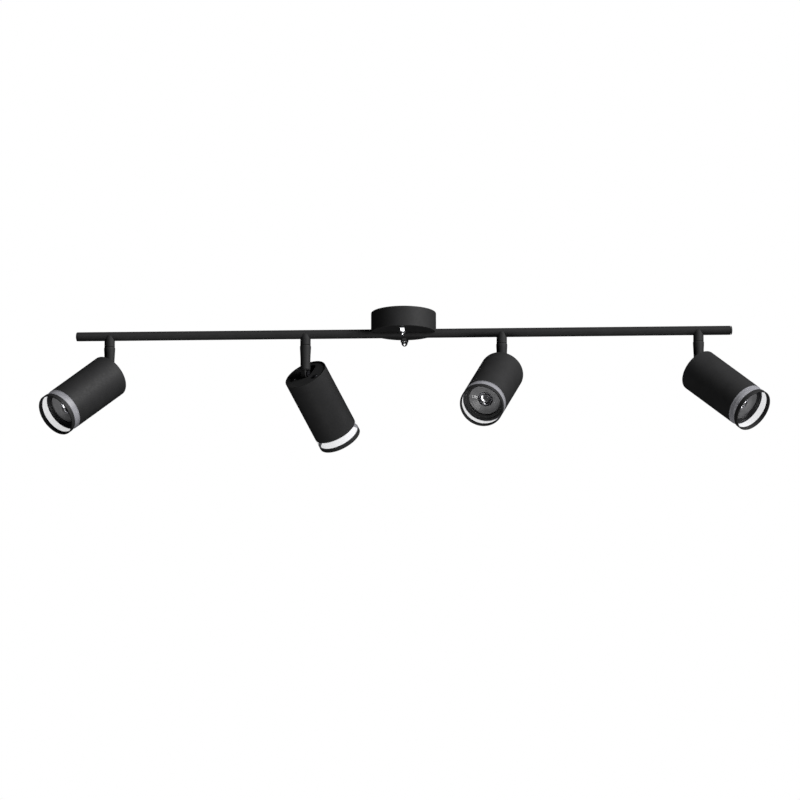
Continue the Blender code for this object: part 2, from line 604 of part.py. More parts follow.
def make_lamp(index, tilt, materials):
    """Reflector lamp: a base, a flared body and a recessed front glass, on two pins."""
    name = f"lamp_{index}"
    rim = LAMP_DIAMETER / 2
    base = LAMP_BASE_DIAMETER / 2
    recess = rim - LAMP_RIM_WALL
    face = -LAMP_FRONT + LAMP_RECESS_DEPTH
    profile = [(0.0, -LAMP_REAR), (base, -LAMP_REAR), (base, -LAMP_REAR - LAMP_BASE_HEIGHT),
               (rim, -LAMP_FRONT + LAMP_RIM_HEIGHT), (rim, -LAMP_FRONT), (recess, -LAMP_FRONT),
               (recess, face), (0.0, face)]
    lamp = add_object(name, turned_mesh(name, profile, FLATS_SPOT), materials["lamp_body"],
                      parent=tilt)
    for sign in (-1, 1):
        pin = rod_mesh("lamp_pin", LAMP_PIN_DIAMETER / 2, -LAMP_REAR - GAP,
                       -LAMP_REAR + LAMP_PIN_LENGTH, FLATS_TINY)
        carve(lamp, pin, "UNION", (0.0, sign * LAMP_PIN_SPACING / 2, 0.0))


def make_spot(index, place, materials):
    """Build one stem and its spot, in its stored pose."""
    turn = math.radians(SWIVEL_ANGLES[index - 1])
    lean = math.radians(TILT_ANGLES[index - 1])
    swivel = make_empty(f"swivel_axis_{index}", (place, 0.0, BAR_Z), (0.0, 0.0, turn))
    tilt = make_empty(f"tilt_axis_{index}", (0.0, 0.0, -ARM_DROP), (0.0, -lean, 0.0), swivel)
    make_socket(index, place, materials)
    make_arm(index, swivel, materials)
    make_swivel_nut(index, swivel, materials)
    make_tilt_pin(index, tilt, materials)
    make_yoke(index, tilt, materials)
    make_rear_cap(index, tilt, materials)
    black = materials["black_paint"]
    make_tube(f"shade_{index}", SHADE_RADIUS, SHADE_BORE, 0.0, BAFFLE_FRONT, tilt, black)
    make_holder(index, tilt, materials)
    make_lamp(index, tilt, materials)
    make_baffle(index, tilt, materials)
    make_tube(f"clear_ring_{index}", SHADE_RADIUS, SHADE_RADIUS - CLEAR_RING_WALL, RING_REAR,
              RING_FRONT, tilt, materials["clear_acrylic"])
    make_tube(f"bezel_{index}", SHADE_RADIUS, SHADE_RADIUS - BEZEL_WALL, BEZEL_REAR,
              BEZEL_FRONT, tilt, black, BEZEL_EDGE)


def main():
    """Build the whole fixture."""
    clear_scene()
    materials = make_materials()
    make_canopy(materials)
    make_bracket(materials)
    make_cap_nut("cap_nut_front", -STUD_OFFSET, materials)
    make_cap_nut("cap_nut_rear", STUD_OFFSET, materials)
    make_nipple(materials)
    make_terminal_block(materials)
    make_bar(materials)
    make_end_cap("end_cap_left", -1, materials)
    make_end_cap("end_cap_right", 1, materials)
    for index, place in enumerate(stem_places(), start=1):
        make_spot(index, place, materials)


main()
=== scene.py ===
"""Looks of a ceiling spot bar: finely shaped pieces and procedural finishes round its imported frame.

Every piece is shaped about its own axis, once, and each copy is then set in its place on the
frame. The frame's joints say where the stems stand and how far each spot is turned and leant.
"""

from __future__ import annotations

import json
import logging
import math
from collections.abc import Callable, Iterator, Sequence
from contextlib import contextmanager
from dataclasses import dataclass
from enum import Enum, IntEnum

import bmesh
import bpy
from mathutils import Matrix, Vector

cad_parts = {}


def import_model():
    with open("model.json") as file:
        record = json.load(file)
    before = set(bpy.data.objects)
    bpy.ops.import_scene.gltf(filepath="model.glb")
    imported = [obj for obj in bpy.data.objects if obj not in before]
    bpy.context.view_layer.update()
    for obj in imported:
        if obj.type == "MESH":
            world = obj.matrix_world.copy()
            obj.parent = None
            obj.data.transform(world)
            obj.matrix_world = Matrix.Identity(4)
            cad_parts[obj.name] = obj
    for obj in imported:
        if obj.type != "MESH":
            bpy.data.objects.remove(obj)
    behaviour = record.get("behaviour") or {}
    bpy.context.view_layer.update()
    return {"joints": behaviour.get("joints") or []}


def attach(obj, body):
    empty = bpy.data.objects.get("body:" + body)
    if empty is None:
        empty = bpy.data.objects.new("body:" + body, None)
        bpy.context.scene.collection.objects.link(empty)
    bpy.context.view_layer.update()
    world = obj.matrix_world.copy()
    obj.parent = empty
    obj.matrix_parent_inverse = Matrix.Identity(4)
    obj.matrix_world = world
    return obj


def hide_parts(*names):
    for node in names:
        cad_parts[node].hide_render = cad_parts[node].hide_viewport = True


Piece = bpy.types.Object
Material = bpy.types.Material
Socket = bpy.types.NodeSocket
Station = tuple[float, float]
Colour = tuple[float, float, float]
Corner = tuple[float, float, float]

MM = 0.001
GAP = 0.3 * MM
MERGE_DISTANCE = 0.002 * MM
POLE_RADIUS = 0.0005 * MM
SHARP_ANGLE = math.radians(38.0)
HEXAGON = 6
NUT_CHAMFER = 0.62
NUT_FACE = 0.98
CREST_START = 0.35
CREST_END = 0.6
ALONG_X = (0.0, math.pi / 2, 0.0)
ALONG_Y = (math.pi / 2, 0.0, 0.0)

log = logging.getLogger("spot_bar")


class Cut(Enum):
    """How a tool meets the piece that it works on."""

    TAKE_AWAY = "DIFFERENCE"
    JOIN = "UNION"
    KEEP_SHARED = "INTERSECT"


class Flats(IntEnum):
    """Counts of flats in a full circle, from the outlines that show most to the holes."""

    SHELL = 160
    FACE = 128
    LENS = 96
    ROD = 64
    SMALL_ROD = 48
    RIVET = 40
    PIN = 32
    HOLE = 24


class Slot(Enum):
    """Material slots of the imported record."""

    PAINT = "black_paint"
    CHROME = "chrome"
    ZINC = "zinc_steel"
    CERAMIC = "ceramic"
    NYLON = "terminal_plastic"
    LAMP = "lamp_body"
    ACRYLIC = "clear_acrylic"


# ---------------------------------------------------------------------------------------------
# Bench work: the few steps that shape every piece.


def pick_only(piece: Piece | None = None) -> None:
    """Deselect everything, then select and activate one piece.

    Args:
        piece: The piece to work on, or None to leave nothing selected.
    """
    if bpy.context.mode != "OBJECT":
        bpy.ops.object.mode_set(mode="OBJECT")
    bpy.ops.object.select_all(action="DESELECT")
    if piece is not None:
        piece.select_set(True)
        bpy.context.view_layer.objects.active = piece


@contextmanager
def open_mesh(piece: Piece) -> Iterator[None]:
    """Hold a piece in edit mode with all of it selected.

    Args:
        piece: The piece to edit.
    """
    pick_only(piece)
    bpy.ops.object.mode_set(mode="EDIT")
    bpy.ops.mesh.select_all(action="SELECT")
    yield
    bpy.ops.object.mode_set(mode="OBJECT")


def select_points(piece: Piece, wanted: Callable[[Vector], bool]) -> None:
    """Select the points of a piece in edit mode that answer a question.

    Args:
        piece: The piece, held in edit mode.
        wanted: Says of a point's place whether it is selected.
    """
    form = bmesh.from_edit_mesh(piece.data)
    for point in form.verts:
        point.select = wanted(point.co)
    form.select_flush_mode()
    bmesh.update_edit_mesh(piece.data)


def settle(piece: Piece) -> None:
    """Write an object's place into its mesh."""
    pick_only(piece)
    bpy.ops.object.transform_apply(location=True, rotation=True, scale=True)


def close_mesh(piece: Piece) -> None:
    """Merge a piece's doubled points and turn its faces outwards."""
    with open_mesh(piece):
        bpy.ops.mesh.remove_doubles(threshold=MERGE_DISTANCE)
        bpy.ops.mesh.normals_make_consistent(inside=False)


def circle(name: str, radius: float, height: float, flats: int, fill: str) -> Piece:
    """Lay a circle whose first edge faces +Y.

    Args:
        name: Name of the new piece.
        radius: Radius of the circle.
        height: Place of the circle on Z.
        flats: Number of its edges.
        fill: Blender's fill type.

    Returns:
        The new piece, with its place in its mesh.
    """
    pick_only()
    bpy.ops.mesh.primitive_circle_add(
        vertices=flats, radius=radius, fill_type=fill, location=(0.0, 0.0, height),
        rotation=(0.0, 0.0, math.pi / flats))
    piece = bpy.context.active_object
    piece.name = name
    settle(piece)
    return piece


def draw_through(stations: Sequence[Station]) -> None:
    """Extrude the selected ring or disc from station to station.

    Args:
        stations: (radius, height) pairs. The selection lies at the first.
    """
    radius, height = stations[0]
    for next_radius, next_height in stations[1:]:
        bpy.ops.mesh.extrude_region_move(
            TRANSFORM_OT_translate={"value": (0.0, 0.0, next_height - height)})
        factor = max(next_radius, POLE_RADIUS) / radius
        bpy.ops.transform.resize(value=(factor, factor, 1.0),
                                 center_override=(0.0, 0.0, next_height))
        radius, height = max(next_radius, POLE_RADIUS), next_height


def turn_solid(name: str, stations: Sequence[Station], flats: int) -> Piece:
    """Turn a body that is closed by a disc at each end, such as a cap, a cup or a rod.

    Args:
        name: Name of the new piece.
        stations: (radius, height) pairs from one end to the other. A last radius of 0 is a pole.
        flats: Number of flats round the body.

    Returns:
        The closed piece.
    """
    piece = circle(name, *stations[0], flats, "TRIFAN")
    with open_mesh(piece):
        draw_through(stations)
    close_mesh(piece)
    return piece


def turn_ring(name: str, stations: Sequence[Station], flats: int) -> Piece:
    """Turn a ring or tube from the closed outline of its wall.

    Args:
        name: Name of the new piece.
        stations: (radius, height) pairs round the wall's outline.
        flats: Number of flats round the ring.

    Returns:
        The closed piece.
    """
    piece = circle(name, *stations[0], flats, "NOTHING")
    with open_mesh(piece):
        draw_through([*stations, stations[0]])
    close_mesh(piece)
    return piece


def tube(name: str, outer: float, inner: float, low: float, high: float, flats: int) -> Piece:
    """Turn a plain tube between two heights."""
    return turn_ring(name, [(outer, high), (outer, low), (inner, low), (inner, high)], flats)


def rod(name: str, radius: float, low: float, high: float, flats: int) -> Piece:
    """Turn a plain round rod between two heights."""
    return turn_solid(name, [(radius, low), (radius, high)], flats)


def block(name: str, low: Corner, high: Corner) -> Piece:
    """Lay a box between two corners, with its place in its mesh."""
    pick_only()
    centre = [(a + b) / 2 for a, b in zip(low, high)]
    bpy.ops.mesh.primitive_cube_add(size=1.0, location=centre,
                                    scale=[b - a for a, b in zip(low, high)])
    piece = bpy.context.active_object
    piece.name = name
    settle(piece)
    return piece


def slot_bar(name: str, start: float, end: float, radius: float, low: float, high: float,
             flats: int) -> Piece:
    """Extrude the outline round two circles on the X axis.

    Args:
        name: Name of the new piece.
        start: Place of the first circle on X.
        end: Place of the second circle on X.
        radius: Radius of both.
        low: Lower face on Z.
        high: Upper face on Z.
        flats: Number of flats in a full circle, a multiple of four.

    Returns:
        The closed piece.
    """
    piece = circle(name, radius, low, flats, "NGON")
    with open_mesh(piece):
        bpy.ops.transform.translate(value=(start, 0.0, 0.0))
        select_points(piece, lambda place: place.x > start)
        bpy.ops.transform.translate(value=(end - start, 0.0, 0.0))
        bpy.ops.mesh.select_all(action="SELECT")
        bpy.ops.mesh.extrude_region_move(TRANSFORM_OT_translate={"value": (0.0, 0.0, high - low)})
    close_mesh(piece)
    return piece


def round_lug(name: str, radius: float, reach: float, half: float, flats: int) -> Piece:
    """Extrude a lug along Y: round about the Y axis on one side, square at the other.

    Args:
        name: Name of the new piece.
        radius: Radius of the round end.
        reach: Height of the square end on Z, above the axis if positive.
        half: Half of the lug's thickness.
        flats: Number of flats in a full circle, a multiple of four.

    Returns:
        The closed piece.
    """
    piece = circle(name, radius, -half, flats, "NGON")
    side = math.copysign(1.0, reach)
    with open_mesh(piece):
        select_points(piece, lambda place: place.y * side > 0.0)
        bpy.ops.transform.resize(value=(1.0, 0.0, 1.0), center_override=(0.0, 0.0, -half))
        bpy.ops.transform.translate(value=(0.0, reach, 0.0))
        bpy.ops.mesh.select_all(action="SELECT")
        bpy.ops.mesh.extrude_region_move(TRANSFORM_OT_translate={"value": (0.0, 0.0, 2 * half)})
    close_mesh(piece)
    piece.rotation_euler = ALONG_Y
    settle(piece)
    return piece


def lay(piece: Piece, place: Corner = (0.0, 0.0, 0.0), turned: Corner = (0.0, 0.0, 0.0)) -> Piece:
    """Move and turn a piece, and write that into its mesh."""
    piece.location = place
    piece.rotation_euler = turned
    settle(piece)
    return piece


def copy_of(pattern: Piece, name: str) -> Piece:
    """Return a copy of a piece with a mesh of its own."""
    pick_only(pattern)
    bpy.ops.object.duplicate(linked=False)
    piece = bpy.context.active_object
    piece.name = name
    return piece


def use_modifier(piece: Piece, kind: str, **settings: object) -> None:
    """Add a modifier to a piece and apply it.

    Args:
        piece: The piece to change.
        kind: Blender's name for the modifier's type.
        **settings: Its properties.
    """
    pick_only(piece)
    modifier = piece.modifiers.new(kind.lower(), kind)
    for key, value in settings.items():
        setattr(modifier, key, value)
    bpy.ops.object.modifier_apply(modifier=modifier.name)


def work(piece: Piece, tool: Piece, cut: Cut = Cut.TAKE_AWAY) -> None:
    """Cut or join a piece with a tool, which is used up.

    Args:
        piece: The piece to change.
        tool: The body that it meets.
        cut: How they meet.
    """
    use_modifier(piece, "BOOLEAN", object=tool, operation=cut.value, solver="EXACT")
    bpy.data.objects.remove(tool, do_unlink=True)


def drill(piece: Piece, radius: float, low: float, high: float,
          flats: int = Flats.HOLE, place: Corner = (0.0, 0.0, 0.0),
          turned: Corner = (0.0, 0.0, 0.0)) -> None:
    """Cut a round hole or groove.

    Args:
        piece: The piece to change.
        radius: The hole's radius.
        low: Where it starts on its own axis, before it is turned and moved.
        high: Where it ends.
        flats: The number of its flats.
        place: Where its axis passes.
        turned: How its axis is turned from Z.
    """
    work(piece, lay(rod("drill", radius, low, high, flats), place, turned))


def soften(piece: Piece, width: float, segments: int = 3, angle: float = 30.0) -> None:
    """Round a piece's sharp edges.

    Args:
        piece: The piece to change.
        width: Width of the rounding.
        segments: Number of faces across it.
        angle: The sharpness in degrees from which an edge is rounded.
    """
    use_modifier(piece, "BEVEL", width=width, segments=segments, limit_method="ANGLE",
                 angle_limit=math.radians(angle))


def thread(radius: float, low: float, high: float, pitch: float, depth: float) -> list[Station]:
    """Return the stations of a threaded stretch, as a row of ridges.

    Args:
        radius: Outer radius of the thread.
        low: Lower end of the stretch.
        high: Upper end of the stretch.
        pitch: Distance from ridge to ridge.
        depth: Depth of the valleys.

    Returns:
        (radius, height) pairs from the low end to the high end.
    """
    count = max(1, round((high - low) / pitch))
    step = (high - low) / count
    stations = []
    for turn in range(count):
        start = low + turn * step
        stations += [(radius - depth, start), (radius, start + CREST_START * step),
                     (radius, start + CREST_END * step)]
    return [*stations, (radius - depth, high)]


def dome(radius: float, base: float, rise: float, steps: int) -> list[Station]:
    """Return the stations of a dome from its edge to its pole, up or down Z."""
    turns = (math.pi / 2 * step / steps for step in range(steps + 1))
    return [(radius * math.cos(turn), base + rise * math.sin(turn)) for turn in turns]


def hexagon_nut(name: str, across: float, low: float, high: float, bore: float | None) -> Piece:
    """Shape a hexagon nut with turned-off corners, two of its flats facing Y.

    Args:
        name: Name of the new piece.
        across: Width across the flats.
        low: Lower face on Z.
        high: Upper face on Z.
        bore: Radius of its bore, or None for none.

    Returns:
        The closed piece.
    """
    corner = across / math.sqrt(3.0)
    pick_only()
    bpy.ops.mesh.primitive_cylinder_add(vertices=HEXAGON, radius=corner, depth=high - low,
                                        location=(0.0, 0.0, (low + high) / 2),
                                        rotation=(0.0, 0.0, math.pi / HEXAGON))
    nut = bpy.context.active_object
    nut.name = name
    settle(nut)
    chamfer = (corner - across / 2) * NUT_CHAMFER
    face = across / 2 * NUT_FACE
    past_corner = corner * 1.02
    turned = [(face, low), (past_corner, low + chamfer), (past_corner, high - chamfer),
              (face, high)]
    work(nut, turn_solid("corner_tool", turned, Flats.SMALL_ROD), Cut.KEEP_SHARED)
    if bore is not None:
        drill(nut, bore, low - MM, high + MM, Flats.PIN)
    return nut


# ---------------------------------------------------------------------------------------------
# Finishes.


class Wiring:
    """Short words for the nodes that the finishes share."""

    MIDDLE = (0.3, 0.7)

    def __init__(self, material: Material) -> None:
        """Take hold of a material's nodes."""
        self.nodes = material.node_tree.nodes
        self.links = material.node_tree.links
        self.shader = self.nodes["Principled BSDF"]

    def fix(self, **values: object) -> None:
        """Set the shader's own sockets. An underscore in a name stands for a space."""
        for key, value in values.items():
            self.shader.inputs[key.replace("_", " ")].default_value = value

    def feed(self, source: Socket, socket: str) -> None:
        """Join a pattern to one of the shader's sockets."""
        self.links.new(source, self.shader.inputs[socket])

    def coordinates(self, stretch: Corner) -> Socket:
        """Return object coordinates, stretched per axis."""
        place = self.nodes.new("ShaderNodeTexCoord")
        mapping = self.nodes.new("ShaderNodeMapping")
        mapping.inputs["Scale"].default_value = stretch
        self.links.new(place.outputs["Object"], mapping.inputs["Vector"])
        return mapping.outputs["Vector"]

    def noise(self, scale: float, detail: float = 2.0,
              stretch: Corner = (1.0, 1.0, 1.0)) -> Socket:
        """Return a soft noise of about 1/scale metres a grain."""
        node = self.nodes.new("ShaderNodeTexNoise")
        node.inputs["Scale"].default_value = scale
        node.inputs["Detail"].default_value = detail
        self.links.new(self.coordinates(stretch), node.inputs["Vector"])
        return node.outputs["Fac"]

    def cells(self, scale: float) -> Socket:
        """Return the distance inside a field of irregular cells."""
        node = self.nodes.new("ShaderNodeTexVoronoi")
        node.inputs["Scale"].default_value = scale
        self.links.new(self.coordinates((1.0, 1.0, 1.0)), node.inputs["Vector"])
        return node.outputs["Distance"]

    def spread(self, source: Socket, low: float, high: float) -> Socket:
        """Return a pattern's middle stretch, spread between two values."""
        node = self.nodes.new("ShaderNodeMapRange")
        node.inputs["From Min"].default_value = self.MIDDLE[0]
        node.inputs["From Max"].default_value = self.MIDDLE[1]
        node.inputs["To Min"].default_value = low
        node.inputs["To Max"].default_value = high
        self.links.new(source, node.inputs["Value"])
        return node.outputs["Result"]

    def tint(self, source: Socket, dark: Colour, light: Colour) -> Socket:
        """Return a colour that runs with a pattern between two."""
        node = self.nodes.new("ShaderNodeMix")
        node.data_type = "RGBA"
        ends = (socket for socket in node.inputs if socket.type == "RGBA")
        for socket, colour in zip(ends, (dark, light)):
            socket.default_value = (*colour, 1.0)
        self.links.new(self.spread(source, 0.0, 1.0), node.inputs["Factor"])
        return next(socket for socket in node.outputs if socket.type == "RGBA")

    def emboss(self, sources: Sequence[tuple[Socket, float]]) -> None:
        """Bump the surface by patterns, each with its height in metres."""
        normal = None
        for source, height in sources:
            node = self.nodes.new("ShaderNodeBump")
            node.inputs["Strength"].default_value = 1.0
            node.inputs["Distance"].default_value = height
            self.links.new(source, node.inputs["Height"])
            if normal is not None:
                self.links.new(normal, node.inputs["Normal"])
            normal = node.outputs["Normal"]
        if normal is not None:
            self.feed(normal, "Normal")


@dataclass(frozen=True)
class Finish:
    """A finish of the fixture's pieces."""

    name: str
    slot: Slot

    def mix(self) -> Material:
        """Return the finish as a material."""
        material = bpy.data.materials.new(self.name)
        material.use_nodes = True
        self.wire(Wiring(material))
        return material

    def wire(self, wiring: Wiring) -> None:
        """Join the finish's patterns to the shader."""
        raise NotImplementedError


@dataclass(frozen=True)
class PowderCoat(Finish):
    """Satin powder coat: a faint orange peel, a little uneven in shade and gloss."""

    dark: Colour = (0.0155, 0.0155, 0.0160)
    light: Colour = (0.0190, 0.0190, 0.0196)
    gloss: tuple[float, float] = (0.60, 0.68)
    shine: float = 0.18
    cloud_grain: float = 70.0
    gloss_grain: float = 260.0
    speckle_grain: float = 2600.0
    peel_grain: float = 1100.0
    peel_height: float = 0.004 * MM

    def wire(self, wiring: Wiring) -> None:
        """Join peel, speckle and clouds to the paint."""
        peel = wiring.noise(self.peel_grain, 1.0)
        wiring.fix(Specular_IOR_Level=self.shine)
        clouds = wiring.noise(self.cloud_grain, 4.0)
        wiring.feed(wiring.tint(clouds, self.dark, self.light), "Base Color")
        wiring.feed(wiring.spread(wiring.noise(self.gloss_grain, 3.0), *self.gloss), "Roughness")
        wiring.emboss([(peel, self.peel_height),
                       (wiring.cells(self.speckle_grain), self.peel_height / 3)])


@dataclass(frozen=True)
class BrightMetal(Finish):
    """Plated metal, from mirror bright to a drawn satin."""

    dark: Colour = (0.72, 0.73, 0.75)
    light: Colour = (0.86, 0.86, 0.88)
    gloss: tuple[float, float] = (0.05, 0.12)
    drawn: Corner = (1.0, 1.0, 1.0)
    cloud_grain: float = 120.0
    grain: float = 300.0
    scratch: float = 0.001 * MM

    def wire(self, wiring: Wiring) -> None:
        """Join the plating's clouds and its drawn lines to the metal."""
        wiring.fix(Metallic=1.0)
        lines = wiring.noise(self.grain, 3.0, self.drawn)
        clouds = wiring.noise(self.cloud_grain, 3.0)
        wiring.feed(wiring.tint(clouds, self.dark, self.light), "Base Color")
        wiring.feed(wiring.spread(lines, *self.gloss), "Roughness")
        wiring.emboss([(lines, self.scratch)])


@dataclass(frozen=True)
class GrainySolid(Finish):
    """Ceramic, moulded nylon or a lamp's shell: fine-grained, a little uneven, maybe glazed."""

    dark: Colour = (0.70, 0.68, 0.63)
    light: Colour = (0.82, 0.80, 0.75)
    gloss: tuple[float, float] = (0.5, 0.65)
    cloud_grain: float = 240.0
    grain: float = 900.0
    grain_height: float = 0.02 * MM
    depth: float = 0.05
    depth_reach: float = 0.5 * MM
    shine: float = 0.5
    glaze: float = 0.0
    glaze_bending: float = 1.7
    glaze_gloss: float = 0.10

    def wire(self, wiring: Wiring) -> None:
        """Join the grain and the clouds to the body, and set its depth and glaze."""
        wiring.fix(Subsurface_Weight=self.depth, Subsurface_Scale=self.depth_reach,
                   Specular_IOR_Level=self.shine, Coat_Weight=self.glaze,
                   Coat_IOR=self.glaze_bending, Coat_Roughness=self.glaze_gloss)
        grain = wiring.noise(self.grain, 4.0)
        clouds = wiring.noise(self.cloud_grain, 5.0)
        wiring.feed(wiring.tint(clouds, self.dark, self.light), "Base Color")
        wiring.feed(wiring.spread(grain, *self.gloss), "Roughness")
        wiring.emboss([(grain, self.grain_height)])


@dataclass(frozen=True)
class Acrylic(Finish):
    """Clear cast acrylic in a thin wall: a faint satin haze that light and sight go through."""

    dark: Colour = (0.74, 0.74, 0.80)
    light: Colour = (0.80, 0.80, 0.86)
    cloud_grain: float = 60.0
    haze: float = 0.19
    gloss: tuple[float, float] = (0.34, 0.42)
    bending: float = 1.49

    def wire(self, wiring: Wiring) -> None:
        """Join the haze's soft clouds to the clear body."""
        wiring.fix(IOR=self.bending, Alpha=self.haze)
        clouds = wiring.noise(self.cloud_grain, 2.0)
        wiring.feed(wiring.tint(clouds, self.dark, self.light), "Base Color")
        wiring.feed(wiring.spread(clouds, *self.gloss), "Roughness")


PAINT = PowderCoat("satin_black_powder_coat", Slot.PAINT)
DEEP_PAINT = PowderCoat("inner_black_coat", Slot.PAINT, dark=(0.006, 0.006, 0.0065),
                        light=(0.009, 0.009, 0.0095), gloss=(0.32, 0.42), shine=0.6)
CHROME = BrightMetal("mirror_chrome", Slot.CHROME, gloss=(0.26, 0.32))
ZINC = BrightMetal("zinc_plate", Slot.ZINC, dark=(0.36, 0.37, 0.36), light=(0.48, 0.49, 0.48),
                   gloss=(0.42, 0.54), drawn=(1.0, 12.0, 12.0), scratch=0.004 * MM)
BLACK_ZINC = BrightMetal("black_zinc_plate", Slot.ZINC, dark=(0.022, 0.022, 0.025),
                         light=(0.036, 0.036, 0.04), gloss=(0.42, 0.52), scratch=0.003 * MM)
BRASS = BrightMetal("terminal_brass", Slot.ZINC, dark=(0.62, 0.47, 0.22),
                    light=(0.76, 0.60, 0.32), gloss=(0.22, 0.34))
CERAMIC = GrainySolid("holder_ceramic", Slot.CERAMIC)
NYLON = GrainySolid("terminal_nylon", Slot.NYLON, dark=(0.76, 0.76, 0.72),
                    light=(0.85, 0.85, 0.82), gloss=(0.35, 0.46), grain=500.0,
                    grain_height=0.008 * MM, depth=0.2)
LAMP_SHELL = GrainySolid("lamp_shell", Slot.LAMP, dark=(0.21, 0.21, 0.215),
                         light=(0.25, 0.25, 0.255), gloss=(0.40, 0.50), grain=700.0,
                         grain_height=0.002 * MM, depth=0.0, shine=0.05, glaze=0.18)
REFLECTOR = BrightMetal("lamp_reflector", Slot.LAMP, dark=(0.50, 0.50, 0.52),
                        light=(0.62, 0.62, 0.64), gloss=(0.20, 0.28), scratch=0.0002 * MM)
ACRYLIC = Acrylic("satin_acrylic", Slot.ACRYLIC)
LENS = Acrylic("lamp_lens", Slot.ACRYLIC, dark=(0.10, 0.10, 0.11), light=(0.14, 0.14, 0.15),
               haze=0.35, gloss=(0.04, 0.08))


class Paintbox:
    """The finishes, each mixed once."""

    def __init__(self) -> None:
        """Start with none mixed."""
        self.mixed: dict[str, Material] = {}

    def coat(self, piece: Piece, finish: Finish) -> None:
        """Give a piece a finish and smooth shading.

        Args:
            piece: The finished shape.
            finish: Its finish.
        """
        if finish.name not in self.mixed:
            self.mixed[finish.name] = finish.mix()
        piece.data.materials.clear()
        piece.data.materials.append(self.mixed[finish.name])
        pick_only(piece)
        bpy.ops.object.shade_smooth_by_angle(angle=SHARP_ANGLE)
        use_modifier(piece, "WEIGHTED_NORMAL", keep_sharp=True)


# ---------------------------------------------------------------------------------------------
# Sub-assemblies.


@dataclass
class Assembly:
    """A group of pieces that share a paintbox and a way to set them on the frame."""

    paintbox: Paintbox

    def seat(self, piece: Piece, finish: Finish, body: str, *nodes: str) -> Piece:
        """Finish a piece and fix it to a body, in place of the nodes that it stands for.

        Args:
            piece: The piece, in its place.
            finish: Its finish.
            body: The body that it moves with.
            *nodes: The frame's nodes that it replaces.

        Returns:
            The piece.
        """
        self.paintbox.coat(piece, finish)
        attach(piece, body)
        if nodes:
            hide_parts(*nodes)
        log.info("%s: %d faces on %s", piece.name, len(piece.data.polygons), body)
        return piece


